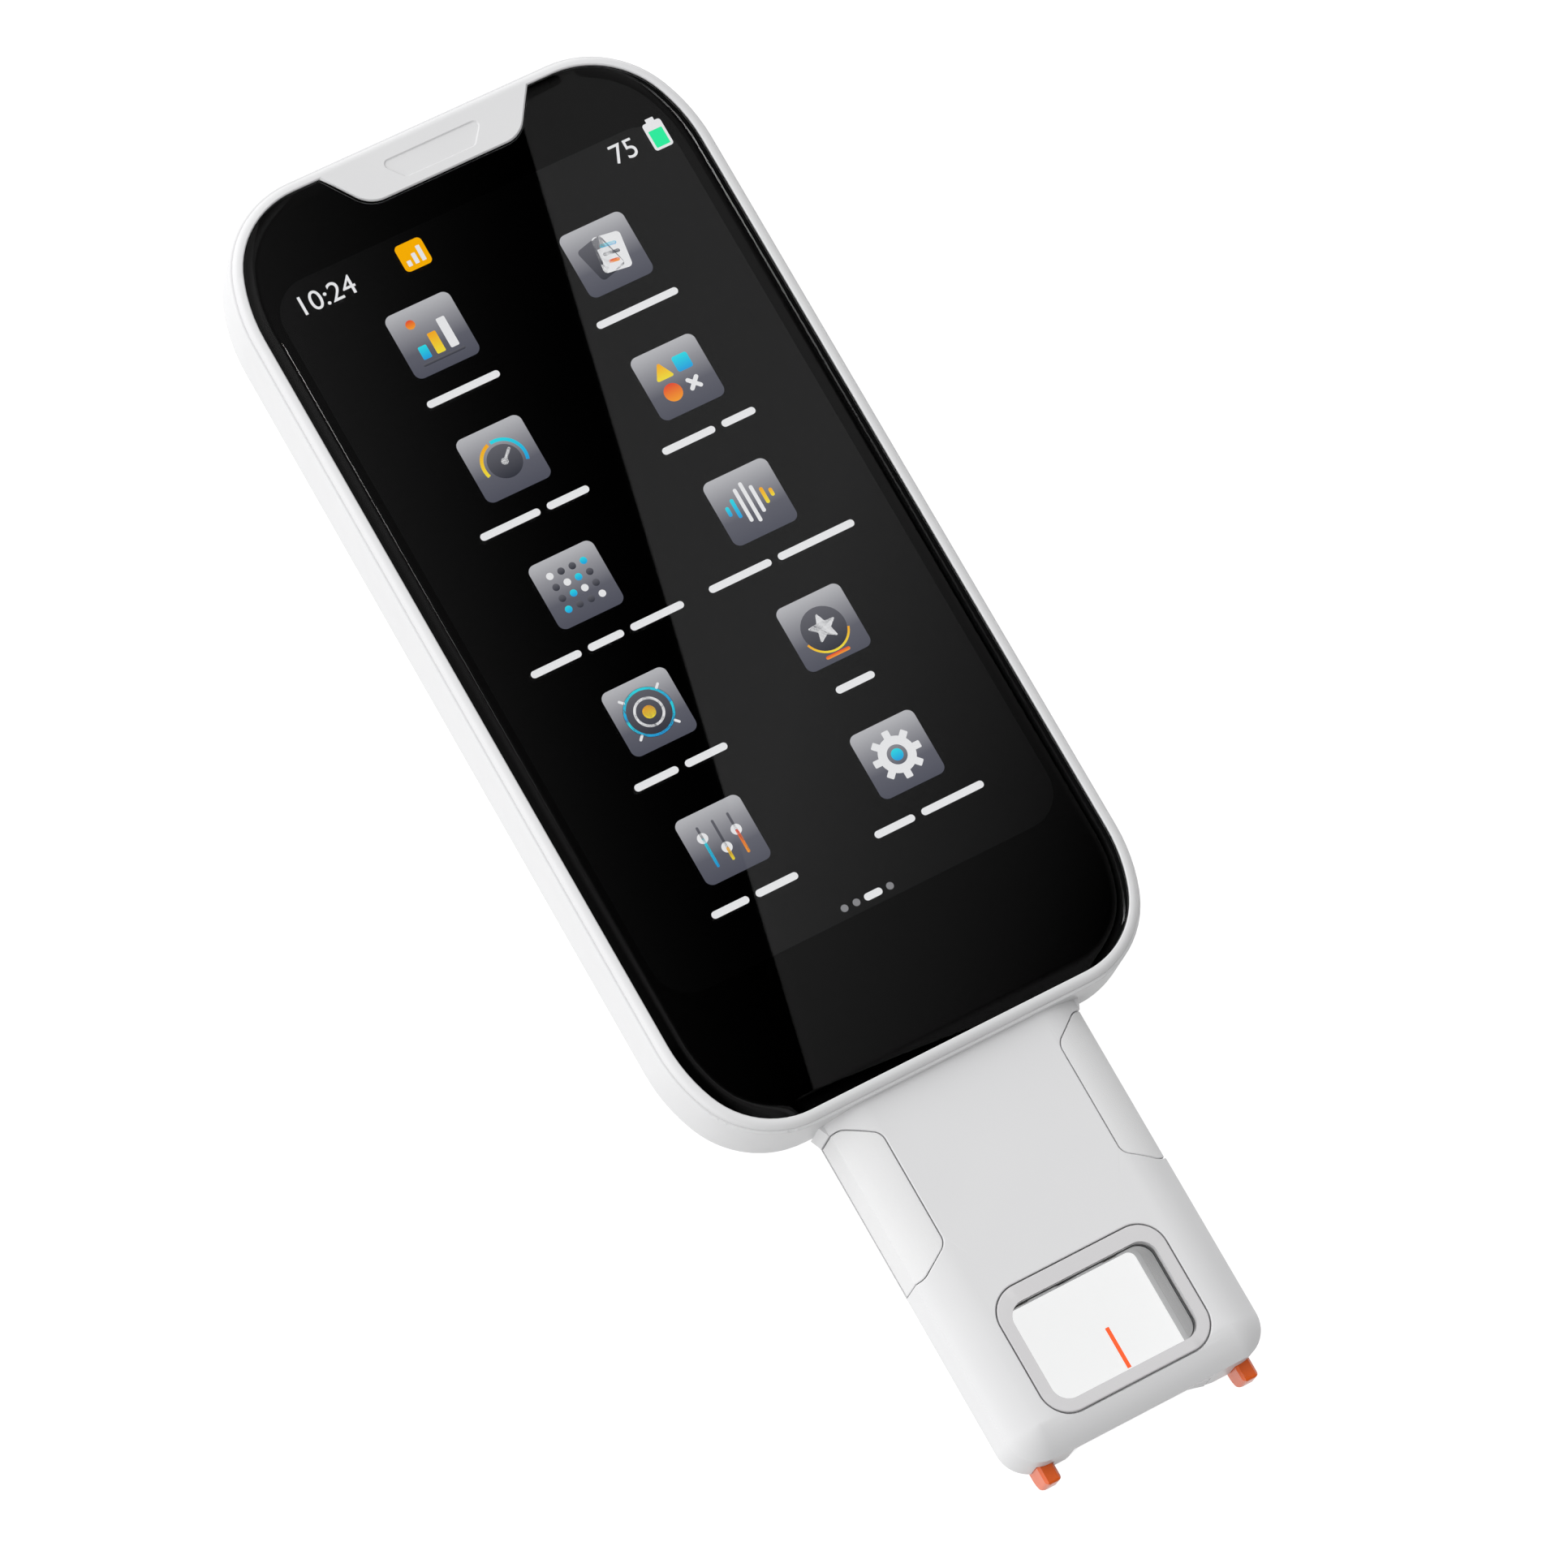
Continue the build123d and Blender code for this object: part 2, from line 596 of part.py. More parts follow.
def side_key(y, length, flange_length, gap, nub_places):
    """Key cap with a retaining flange inside the wall and nubs for its switches."""
    back = glass_x - gap - KEY_FLANGE
    cap = side_slot(y, length, KEY_HEIGHT, (back, half_width + KEY_PROUD))
    cap = fillet(cap.edges().group_by(Axis.X)[-1], KEY_PROUD / 2)
    cap += side_slot(y, flange_length, KEY_HEIGHT + 2 * KEY_FLANGE_LIP, (back, back + KEY_FLANGE))
    for place in nub_places:
        cap += block((nub_back, back + 0.1), (place - 0.8, place + 0.8), (key_z - 0.5, key_z + 0.5))
    return cap


def power_button():
    """Power button in the right wall."""
    flange_length = POWER_LENGTH + 2 * KEY_FLANGE_LIP
    return side_key(power_y, POWER_LENGTH, flange_length, KEY_GAP, [power_y])


def rocker_switch_places():
    """Where the two switches under the volume rocker are."""
    return [rocker_y - ROCKER_SWITCH_SPACING / 2, rocker_y + ROCKER_SWITCH_SPACING / 2]


def volume_rocker():
    """Volume rocker that tilts on a rib at its middle."""
    return side_key(rocker_y, ROCKER_LENGTH, ROCKER_FLANGE, ROCKER_GAP, rocker_switch_places())


def side_switches():
    """Tact switches on the board's edge, one per key end."""
    switches = Part()
    low = board_high + SEAT_GAP
    for y in [power_y] + rocker_switch_places():
        back = (switch_front - 0.4 - SWITCH_WIDTH, switch_front - 0.4)
        switch = block(back, (y - SWITCH_LENGTH / 2, y + SWITCH_LENGTH / 2), (low, low + SWITCH_HEIGHT))
        switches += switch + block((back[1], switch_front), (y - 0.7, y + 0.7), (key_z - 0.5, key_z + 0.5))
    return switches


def ribbon(points, x, bend):
    """Flat cable along points in the YZ plane."""
    run = trace(FilletPolyline(*points, radius=bend), FLEX_THICKNESS)
    return extrude(Plane.YZ.offset(x) * run, FLEX_WIDTH)


def display_flex():
    """Flat cable from the screen's lower edge, round its back and up to the main board."""
    y = screen_span[0]
    under = plate_low - 0.35
    start = screen_low + 0.2
    points = [(y, start), (y - 1.6, start), (y - 1.6, under),
              (board_span[0] + 1, under), (board_span[0] + 4, board_high + 0.5),
              (board_span[0] + FLEX_LANDING, board_high + 0.5)]
    return ribbon(points, -FLEX_WIDTH - FLEX_SPACING, 0.5)


def head_flex():
    """Flat cable from the head's board through the neck and over the battery."""
    over = FLOOR + SEAT_GAP + BATTERY_THICKNESS + 0.2
    low = FLOOR + SEAT_GAP + TONGUE_THICKNESS + 0.2
    start = head_start - 5.0
    points = [(start, head_board_high + 0.15), (start + 0.8, head_board_high + 0.15), (start + 2.4, low),
              (battery_y[0] - 5, low), (battery_y[0] - 1.5, over), (board_span[0] - 1, over),
              (board_span[0] + 1.5, board_high + 0.3), (board_span[0] + 4.5, board_high + 0.3)]
    return ribbon(points, -FLEX_WIDTH / 2, 0.5)


def edge_section(inset, low, width):
    """Section through the head's edge: as much of it as the width reaches inwards."""
    radius, run = crown_radius - inset, CROWN_RUN - inset
    centre_z = HEAD_DEPTH - crown_radius
    start = max(run - width, 0)
    heights = [centre_z + math.sqrt(radius**2 - s**2) for s in (run, (run + start) / 2, start)]
    outer, between, inner = zip((width, width - (run - start) / 2, width - run + start), heights)
    lines = ThreePointArc(outer, between, inner) + Polyline((0, low), (width, low), outer)
    if width > run:
        lines += Line(inner, (0, inner[1]))
    return make_face(lines + Line((0, inner[1]), (0, low)))


def crown(inset, low):
    """The head's outer form pulled inwards by a distance, from a height up.

    Its flanks and tip are arcs tangent to the flat front, carried straight along the sides
    and the tip and turned round the two tip corners.
    """
    x, end, corner = head_x - inset, head_end + inset, HEAD_CORNER - inset
    axis_x, axis_y = x - corner, end + corner
    across = Plane(origin=(0, head_start, 0), x_dir=(1, 0, 0), z_dir=(0, -1, 0))
    along = Plane(origin=(x, head_start, 0), x_dir=(0, -1, 0), z_dir=(-1, 0, 0))
    length = head_start - end
    sides = both_sides(extrude(across * edge_section(inset, low, x), length))
    form = sides & extrude(along * edge_section(inset, low, length), 2 * x)
    form -= both_sides(block((axis_x, x + 1), (end - 1, axis_y), (low - 1, HEAD_DEPTH + 1)))
    radial = Plane(origin=(axis_x, axis_y, 0), x_dir=(1, 0, 0), z_dir=(0, -1, 0))
    turned = revolve(radial * edge_section(inset, low, corner), Axis((axis_x, axis_y, 0), (0, 0, -1)), 90)
    return form + both_sides(turned)


def head_outside():
    """The whole outside of the head, with its rounded back edge."""
    form = crown(0, 0)
    edges = form.edges().filter_by(lambda e: e.center().Z < 0.01 and e.center().Y < head_start - 0.01)
    return fillet(edges, HEAD_BACK_RADIUS)


def below(height):
    """Space below a height, as wide and long as the head."""
    return centred(HEAD_WIDTH, (head_end - HEAD_LENGTH, head_start + HEAD_LENGTH), (-HEAD_DEPTH, height))


def grip_prism(grow):
    """Upright prism over the right grip, grown outwards by a gap."""
    outer, square = head_x + 2, head_x - GRIP_SQUARE
    start, end = head_start - GRIP_START + grow, head_start - GRIP_END - grow
    shoulder, heel = head_start - GRIP_SHOULDER, head_start - GRIP_HEEL
    inner = GRIP_INNER - grow
    inner_side = [(square, start), (inner, shoulder), (inner, heel), (square, end)]
    face = make_face(Polyline((outer, start), *inner_side, (outer, end), close=True))
    corners = face.vertices().filter_by(lambda v: v.X < outer - 1)
    return slab(fillet(corners, GRIP_CORNER), HEAD_BACK_RADIUS - grow, BODY_DEPTH)


def skin_edges(piece, inset):
    """Edges of a piece that lie on the head's outer form pulled inwards by a distance."""
    core = crown(inset + SEAT_GAP, -1).solid()
    return piece.edges().filter_by(lambda e: not core.is_inside(e.center()))


def seam_edges(shell, x, y):
    """Outer edges of a recess in the head, by its reach from the centre plane and along Y."""
    walls = shell.faces().filter_by(lambda f: abs(f.normal_at().Z) < 0.01)
    edges = skin_edges(shell, 0) & walls.edges()
    return edges.filter_by(lambda e: x[0] < abs(e.center().X) < x[1] and y[0] < e.center().Y < y[1])


def grip(side):
    """Soft inlay that wraps from the front of the head down its side wall."""
    skin = crown(GRIP_RECESS, HEAD_BACK_RADIUS) - crown(GRIP_RECESS + GRIP_THICKNESS, 0)
    inlay = skin & grip_prism(0)
    border = skin_edges(inlay, GRIP_RECESS)
    inlay = fillet(border - border.filter_by(Axis.Y).sort_by(Axis.X)[1:], SEAM_RADIUS)
    return inlay if side > 0 else mirror(inlay, Plane.YZ)


def grip_pockets():
    """What both grips take out of the head's shells."""
    depth = GRIP_RECESS + GRIP_THICKNESS + GRIP_GAP
    skin = crown(-1, 0) - crown(depth, -1)
    return both_sides(skin & grip_prism(2 * GRIP_GAP))


def pocket_edges(shell):
    """Outer edges of both grip pockets in one of the head's shells."""
    low, high = head_start - GRIP_END - 3 * GRIP_GAP, head_start - GRIP_START + 3 * GRIP_GAP
    edges = seam_edges(shell, (GRIP_INNER - 3 * GRIP_GAP, HEAD_WIDTH), (low, high))
    return edges - edges.filter_by(Axis.Y).filter_by(lambda e: abs(e.center().X) > GRIP_INNER)


def window_shape(grow, corner, top):
    """Plan shape of the sighting window, grown outwards, up to a top edge."""
    low = window_low - grow
    middle = (low + top) / 2
    return Pos(0, middle) * RectangleRounded(WINDOW_WIDTH + 2 * grow, top - low, corner)


def window_opening():
    """The opening through the head, whose walls lean outwards to the back."""
    front = window_shape(0, WINDOW_CORNER, window_high)
    back = window_shape(WINDOW_LEAN, WINDOW_BACK_CORNER, window_high + WINDOW_TOP_LEAN)
    return loft([back, Pos(0, 0, HEAD_DEPTH) * front], ruled=True)


def bezel_shape(grow):
    """Plan shape of the ring round the sighting window."""
    low, high = window_low - BEZEL_WIDTH - grow, window_high + BEZEL_TOP_WIDTH + grow
    width = WINDOW_WIDTH + 2 * (BEZEL_WIDTH + grow)
    return Pos(0, (low + high) / 2) * RectangleRounded(width, high - low, BEZEL_CORNER + grow)


def sleeve_shape(grow):
    """Plan shape of the sleeve below the ring."""
    corner = WINDOW_CORNER + SLEEVE_WALL + grow
    return window_shape(SLEEVE_WALL + grow, corner, sleeve_top + grow)


def head_screw_places():
    """Plan positions of the two screws that hold the head's shells together."""
    y = head_start - HEAD_SCREW_FROM_BODY
    return [(-HEAD_SCREW_X, y), (HEAD_SCREW_X, y)]


def head_front_shell():
    """Front shell of the head, with the seat for the window ring and two spring posts."""
    shell = head_outside() - below(crease) - crown(HEAD_WALL, FLOOR)
    shell -= grip_pockets()
    for x, y in head_screw_places():
        shell += bar(x, y, (HEAD_BOSS_JOINT, head_roof + ROOT), HEAD_BOSS_RADIUS - 0.3)
        shell -= bar(x, y, (FLOOR, head_roof - 0.6), BOARD_SCREW_RADIUS + SEAT_GAP)
    post_y = (spring_back, spring_back + 1.5)
    post = block((SPRING_SPAN / 2 - 0.7, SPRING_SPAN / 2 + 0.7), post_y, (YOKE_LOW, head_roof + ROOT))
    shell += both_sides(post)
    shell -= slab(bezel_shape(BEZEL_GROOVE), bezel_seat, BODY_DEPTH)
    shell -= slab(sleeve_shape(SEAT_GAP), 0, BODY_DEPTH)
    low, high = window_low - BEZEL_WIDTH - 2 * BEZEL_GROOVE, window_high + BEZEL_TOP_WIDTH + 2 * BEZEL_GROOVE
    ring_edges = seam_edges(shell, (-1, window_x + BEZEL_WIDTH + 2 * BEZEL_GROOVE), (low, high))
    return fillet(pocket_edges(shell) + ring_edges, SEAM_RADIUS)


spring_front = yoke_high_y + SEAT_GAP
spring_back = spring_front + SPRING_RISE + SPRING_THICKNESS + SEAT_GAP


def scan_arch(radius, z, half):
    """Upright disc that hollows the tip between the feet, cut off at a width."""
    centre_y = head_end + SCAN_ARCH_DEPTH - SCAN_ARCH_RADIUS
    disc = bar(0, centre_y, z, radius)
    return disc & centred(half, (centre_y, centre_y + 2 * SCAN_ARCH_RADIUS), z)


def scan_window():
    """Dark curved window across the tip."""
    half, z = SCAN_WINDOW_WIDTH / 2, (SCAN_LOW, SCAN_HIGH)
    outer = scan_arch(SCAN_ARCH_RADIUS + SCAN_WINDOW_THICKNESS, z, half)
    return outer - bar(0, head_end + SCAN_ARCH_DEPTH - SCAN_ARCH_RADIUS, z, SCAN_ARCH_RADIUS)


def neck_flare():
    """Slight widening of the rear shell where it meets the screen body."""
    points = [(head_x, head_start), (head_x + NECK_FLARE, head_start), (head_x, head_start - GRIP_START)]
    wedge = slab(make_face(Polyline(*points, close=True)), HEAD_BACK_RADIUS, crease)
    return both_sides(wedge)


def tongue_screw_places():
    """Plan positions of the two screws that hold the head in the screen body."""
    y = head_start + TONGUE_LENGTH - TONGUE_SCREW_MARGIN
    return [(-TONGUE_SCREW_X, y), (TONGUE_SCREW_X, y)]


tongue_z = (FLOOR + SEAT_GAP, FLOOR + SEAT_GAP + TONGUE_THICKNESS)


def head_rear_shell():
    """Rear shell of the head, with the tongue, the window's back opening and the feet's slots."""
    shell = (head_outside() & below(crease)) + neck_flare()
    shell -= crown(HEAD_WALL, FLOOR)
    shell -= grip_pockets()
    collar = window_shape(WINDOW_LEAN + SLEEVE_WALL, WINDOW_BACK_CORNER + SLEEVE_WALL, sleeve_top)
    shell += slab(collar, FLOOR - ROOT, SLEEVE_END - SEAT_GAP)
    shell -= window_opening()
    for x, y in head_screw_places():
        shell += bar(x, y, (FLOOR - ROOT, HEAD_BOSS_JOINT - SEAT_GAP), HEAD_BOSS_RADIUS)
        shell -= bar(x, y, (-1, SCREW_HEAD_HEIGHT + SEAT_GAP), BOARD_SCREW_HEAD + SLIDE_GAP)
        shell -= bar(x, y, (0, HEAD_BOSS_JOINT + 1), BOARD_SCREW_RADIUS + SLIDE_GAP)
    shell -= scan_arch(SCAN_ARCH_RADIUS, (-1, SCAN_HIGH + SEAT_GAP), head_x - HEAD_CORNER)
    opening_half = SCAN_WINDOW_WIDTH / 2 + SEAT_GAP
    shell -= scan_arch(SCAN_ARCH_RADIUS + SCAN_WINDOW_THICKNESS + SEAT_GAP,
                       (-1, SCAN_HIGH + SEAT_GAP), opening_half)
    shell -= both_sides(foot_slot())
    shell += centred(TONGUE_WIDTH / 2, (head_start - 2, head_start + TONGUE_LENGTH), tongue_z)
    shell += centred(TONGUE_WIDTH / 2, (head_start - 2, head_start), (FLOOR / 2, tongue_z[1]))
    for x, y in tongue_screw_places():
        shell -= bar(x, y, (0, BODY_DEPTH), BOARD_SCREW_RADIUS + SLIDE_GAP)
    return fillet(pocket_edges(shell), SEAM_RADIUS)


def foot_slot():
    """Slot through the tip corner for the right foot, with room for its travel."""
    x = (foot_x[0] - FORK_GAP, foot_x[1] + FORK_GAP)
    inner_end = foot_root + TRIGGER_TRAVEL + FORK_GAP
    slot = block(x, (head_end - 5, inner_end), (FOOT_LOW - FORK_GAP, FOOT_HIGH + FORK_GAP))
    return slot + block(x, (head_end, head_end + HEAD_CORNER), (STEM_LOW - FORK_GAP, FOOT_HIGH + FORK_GAP))


foot_root = head_end + HEAD_WALL
foot_tip = head_end - FOOT_REACH


def foot():
    """Right foot of the trigger fork: a flat toe with a rounded heel and chamfered front edges."""
    profile = Polyline((foot_root, FOOT_LOW), (foot_tip, FOOT_LOW), (foot_tip, FOOT_HIGH),
                       (foot_root, FOOT_HIGH), close=True)
    profile = make_face(profile)
    heel, toe = profile.vertices().group_by(Axis.X)[0].sort_by(Axis.Y)
    profile = fillet(heel, FOOT_HEEL_RADIUS)
    toe = profile.vertices().sort_by_distance(toe.center())[0]
    profile = fillet(toe, FOOT_TOE_RADIUS)
    body = extrude(Plane.YZ.offset(foot_x[0]) * profile, FOOT_WIDTH)
    middle = (foot_x[0] + foot_x[1]) / 2
    plan = Pos(middle, (foot_tip + foot_root) / 2) * Rectangle(FOOT_WIDTH, foot_root - foot_tip)
    plan = fillet(plan.vertices().group_by(Axis.Y)[0], FOOT_CORNER)
    section = Pos(middle, (FOOT_LOW + FOOT_HIGH) / 2) * Rectangle(FOOT_WIDTH, FOOT_HIGH - FOOT_LOW)
    section = chamfer(section.vertices().group_by(Axis.Y)[-1], FOOT_EDGE)
    front = Plane(origin=(0, foot_root, 0), x_dir=(1, 0, 0), z_dir=(0, -1, 0))
    return body & slab(plan, FOOT_LOW, FOOT_HIGH) & extrude(front * section, foot_root - foot_tip)


def trigger_fork():
    """Both feet on one fork, whose yoke bears on the return spring above the window."""
    stem = block(foot_x, (foot_root - ROOT, yoke_high_y), (STEM_LOW, FOOT_HIGH))
    leg = block(foot_x, (yoke_low_y, yoke_high_y), (STEM_LOW, LEG_TOP))
    fork = both_sides(foot() + stem + leg)
    fork += centred(YOKE_WIDTH / 2, (yoke_low_y, yoke_high_y), (YOKE_LOW, YOKE_HIGH))
    tab_y = (yoke_low_y + 1.2, yoke_high_y)
    return fork + block((TAB_X - 0.9, TAB_X + 0.9), tab_y, (head_board_high + 0.4, YOKE_LOW + 0.1))


def trigger_spring():
    """Leaf spring between the yoke and the two posts."""
    half = SPRING_SPAN / 2
    ends = spring_front + SPRING_RISE + SPRING_THICKNESS / 2
    arc = ThreePointArc((-half, ends), (0, spring_front + SPRING_THICKNESS / 2), (half, ends))
    low = YOKE_LOW + 0.1
    return slab(trace(arc, SPRING_THICKNESS), low, low + SPRING_HEIGHT)


def trigger_switch():
    """Tact switch that the fork's tab closes at the end of its travel."""
    tip = yoke_high_y + TRIGGER_TRAVEL + SEAT_GAP
    low = head_board_high + SEAT_GAP
    body = block((TAB_X - 1.9, TAB_X + 1.9), (tip + 0.5, tip + 3.5), (low, low + 2.4))
    plunger_z = (low + 0.7, low + 1.7)
    return body + block((TAB_X - 0.5, TAB_X + 0.5), (tip, tip + 0.6), plunger_z)


def window_bezel():
    """Ring and sleeve of the sighting window, open to the camera above and the tip below."""
    ring = slab(bezel_shape(0), bezel_seat, HEAD_DEPTH)
    ring = fillet(ring.edges().group_by(Axis.Z)[-1], SEAM_RADIUS)
    ring += slab(sleeve_shape(0), SLEEVE_END, bezel_seat + 0.1)
    ring -= window_opening()
    camera_plane = Plane(origin=(0, window_high - 1, CAMERA_Z), z_dir=(0, 1, 0))
    ring -= extrude(camera_plane * Circle(BARREL_RADIUS + SLIDE_GAP), 5)
    lamp_half = LAMP_WIDTH / 2 + SLIDE_GAP
    lamp_z = (LAMP_Z - LAMP_HEIGHT / 2 - SLIDE_GAP, LAMP_Z + LAMP_HEIGHT / 2 + SLIDE_GAP)
    lamp_x = (LAMP_X - lamp_half, LAMP_X + lamp_half)
    ring -= both_sides(block(lamp_x, (window_high - 1, sleeve_top + 1), lamp_z))
    reading_y = (window_low - 2, window_low + 1)
    return ring - centred(window_x - WINDOW_CORNER, reading_y, (SLEEVE_END + 0.6, SCAN_HIGH))


def window_pane():
    """Clear pane just below the ring's face."""
    shape = window_shape(-SEAT_GAP, WINDOW_CORNER - SEAT_GAP, window_high - SEAT_GAP)
    return slab(shape, pane_low, pane_high)


def centre_mark():
    """Printed line that shows the middle of the text line being read."""
    low = window_low + MARK_FROM_LOW
    return centred(MARK_WIDTH / 2, (low, low + MARK_LENGTH), (pane_high, pane_high + MARK_THICKNESS))


def scan_camera():
    """Camera module that looks down the head through the sleeve."""
    z = (head_board_high + SEAT_GAP, head_board_high + SEAT_GAP + CAMERA_HEIGHT)
    camera = centred(CAMERA_WIDTH / 2, (camera_front, camera_front + CAMERA_LENGTH), z)
    barrel_end = sleeve_top - SLEEVE_WALL
    plane = Plane(origin=(0, barrel_end, CAMERA_Z), z_dir=(0, 1, 0))
    camera += extrude(plane * Circle(BARREL_RADIUS), camera_front + 0.5 - barrel_end)
    return camera - extrude(plane * Circle(LENS_RADIUS + SEAT_GAP / 2), LENS_THICKNESS + 0.1)


def camera_lens():
    """Front lens of the camera."""
    plane = Plane(origin=(0, sleeve_top - SLEEVE_WALL + 0.05, CAMERA_Z), z_dir=(0, 1, 0))
    lens = extrude(plane * Circle(LENS_RADIUS), LENS_THICKNESS)
    return fillet(lens.edges().group_by(Axis.Y)[0], 0.2)


def scan_lamps():
    """Two small lamps beside the camera."""
    x = (LAMP_X - LAMP_WIDTH / 2, LAMP_X + LAMP_WIDTH / 2)
    z = (LAMP_Z - LAMP_HEIGHT / 2, LAMP_Z + LAMP_HEIGHT / 2)
    return both_sides(block(x, (sleeve_top - SLEEVE_WALL - 0.1, sleeve_top + 0.9), z))


def head_board():
    """Small circuit board in the head, narrow between the screw bosses."""
    z = (head_board_low, head_board_high)
    low = sleeve_top + 0.5
    board = centred(HEAD_BOARD_WIDTH / 2, (low, low + HEAD_BOARD_LENGTH), z)
    return board + centred(HEAD_BOARD_NECK / 2, (low + HEAD_BOARD_LENGTH - 1, head_start - 3), z)


def pan_screw(x, y, head_z, shank_z):
    """Small pan head screw with a cross recess in its lower face."""
    head = bar(x, y, head_z, BOARD_SCREW_HEAD)
    for size in ((BOARD_SCREW_HEAD, 0.3, 0.5), (0.3, BOARD_SCREW_HEAD, 0.5)):
        head -= Pos(x, y, head_z[0]) * Box(*size)
    return head + bar(x, y, shank_z, BOARD_SCREW_RADIUS)


def head_screws():
    """Two screws from the back that join the head's shells."""
    screws = Part()
    for x, y in head_screw_places():
        screws += pan_screw(x, y, (SEAT_GAP, SCREW_HEAD_HEIGHT), (SCREW_HEAD_HEIGHT, head_roof - 0.7))
    return screws


def tongue_screws():
    """Two screws that hold the head's tongue to the rear cover."""
    screws = Part()
    for x, y in tongue_screw_places():
        screws += bar(x, y, (tongue_z[1], tongue_z[1] + 0.7), BOARD_SCREW_HEAD)
        screws += bar(x, y, (FLOOR / 2, tongue_z[1]), BOARD_SCREW_RADIUS)
    return screws


def parts():
    """Every piece by its name."""
    return {
        "rear_cover": rear_cover(),
        "front_housing": front_housing(),
        "cover_glass": cover_glass(),
        "display_panel": display_panel(),
        "screen_plate": screen_plate(),
        "case_screws": case_screws(),
        "screw_plugs": screw_plugs(),
        "main_board": main_board(),
        "board_screws": board_screws(),
        "board_shields": board_shields(),
        "battery": battery(),
        "speaker": speaker(),
        "usb_port": usb_port(),
        "microphone": microphone(),
        "power_button": power_button(),
        "volume_rocker": volume_rocker(),
        "side_switches": side_switches(),
        "display_flex": display_flex(),
        "head_flex": head_flex(),
        "head_front_shell": head_front_shell(),
        "head_rear_shell": head_rear_shell(),
        "grip_left": grip(-1),
        "grip_right": grip(1),
        "window_bezel": window_bezel(),
        "window_pane": window_pane(),
        "centre_mark": centre_mark(),
        "scan_window": scan_window(),
        "scan_camera": scan_camera(),
        "camera_lens": camera_lens(),
        "scan_lamps": scan_lamps(),
        "head_board": head_board(),
        "head_screws": head_screws(),
        "tongue_screws": tongue_screws(),
        "trigger_fork": trigger_fork(),
        "trigger_spring": trigger_spring(),
        "trigger_switch": trigger_switch(),
    }


os.makedirs("parts", exist_ok=True)
for name, part in parts().items():
    export_step(part, os.path.join("parts", name + ".step"))
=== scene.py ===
import math

import bmesh
import bpy
from mathutils import Matrix, Vector


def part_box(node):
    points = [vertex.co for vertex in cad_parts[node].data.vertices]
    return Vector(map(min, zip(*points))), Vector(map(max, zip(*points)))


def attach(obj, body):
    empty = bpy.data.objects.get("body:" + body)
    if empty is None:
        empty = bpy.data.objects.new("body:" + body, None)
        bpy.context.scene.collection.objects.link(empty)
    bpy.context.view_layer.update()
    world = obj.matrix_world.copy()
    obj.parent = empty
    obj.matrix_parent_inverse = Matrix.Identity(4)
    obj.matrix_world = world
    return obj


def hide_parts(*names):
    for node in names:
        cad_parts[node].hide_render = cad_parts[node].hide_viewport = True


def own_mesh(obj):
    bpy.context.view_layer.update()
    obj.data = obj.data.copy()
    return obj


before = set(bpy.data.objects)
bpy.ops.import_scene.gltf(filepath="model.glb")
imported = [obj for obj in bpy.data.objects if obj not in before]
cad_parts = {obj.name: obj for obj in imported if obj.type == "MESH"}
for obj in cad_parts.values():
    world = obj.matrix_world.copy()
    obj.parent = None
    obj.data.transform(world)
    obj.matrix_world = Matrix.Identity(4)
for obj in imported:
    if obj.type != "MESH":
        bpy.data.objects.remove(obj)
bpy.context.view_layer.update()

MM = 0.001

# Sizes that the pieces here share with the CAD parts, in mm
GLASS_X, GLASS_Y = 27.55, 58.25  # half of the glass's opening
HIGH_CORNER, LOW_CORNER = (11.2, 14.0), (10.3, 13.1)  # along the short side and the long one
CORNER_SPLIT = 68.0  # degrees turned by the tighter of a corner's two arcs
FRONT = 10.5
GLASS_LOW = 9.6
EDGE_DROP = 0.28
TAB_TOP, TAB_LOW, TAB_DROP, TAB_RADIUS = 13.1, 9.5, 5.15, 3.6  # the first two are half widths
SEAT = 0.05
LEAF = 0.2  # thickness of the trigger's spring
RIM_CHAMFER = 0.12
NOTCH_X, NOTCH_Y = 26.35, 52.15  # upper corner of the screen's opening in the housing

# Sizes of the pieces here alone, in mm
EDGE_WIDTH = 1.7  # of the glass's slope, which is 1.5 wide in the CAD part
BACK_LIP = 0.06  # chamfer round the back of the glass
FRONT_LIP = ((0, -0.06), (0.02, -0.015), (0.07, 0))  # inset and height from the slope's foot
PRINT_INSET = 0.1
PANE_GROWTH, PANE_RADIUS, PANE_BEVEL = 0.03, 1.98, 0.08
FILL_DROP = 0.005  # of the rim corners' tops below the rim's top
STRAIGHT = 0.8  # of each side next to a corner, a face of its own so that it shades flat

# Faces along the curves
TIGHT_STEPS, WIDE_STEPS = 24, 12  # of a corner's two arcs
SLOPE_STEPS = 12
LEAF_STEPS = 32

# Levels of the screen's layers under the glass
INK = (GLASS_LOW + 0.005, GLASS_LOW + 0.03)
LIT = (GLASS_LOW + 0.031, GLASS_LOW + 0.036)
TILES = (GLASS_LOW + 0.037, GLASS_LOW + 0.046)
MOTIFS = (GLASS_LOW + 0.047, GLASS_LOW + 0.056)
CHARGE = (MOTIFS[1] + 0.0005, MOTIFS[1] + 0.002)
PANE = (GLASS_LOW + 0.06, FRONT)


# ---------------------------------------------------------------- plan shapes

SQUARE = ((-1, -1), (1, -1), (1, 1), (-1, 1))  # its half sides are 1


def arc(centre, radius, start, end, steps):
    """Points along an arc, angles in degrees."""
    angles = [math.radians(start + (end - start) * i / steps) for i in range(steps + 1)]
    return [(centre[0] + radius * math.cos(a), centre[1] + radius * math.sin(a)) for a in angles]


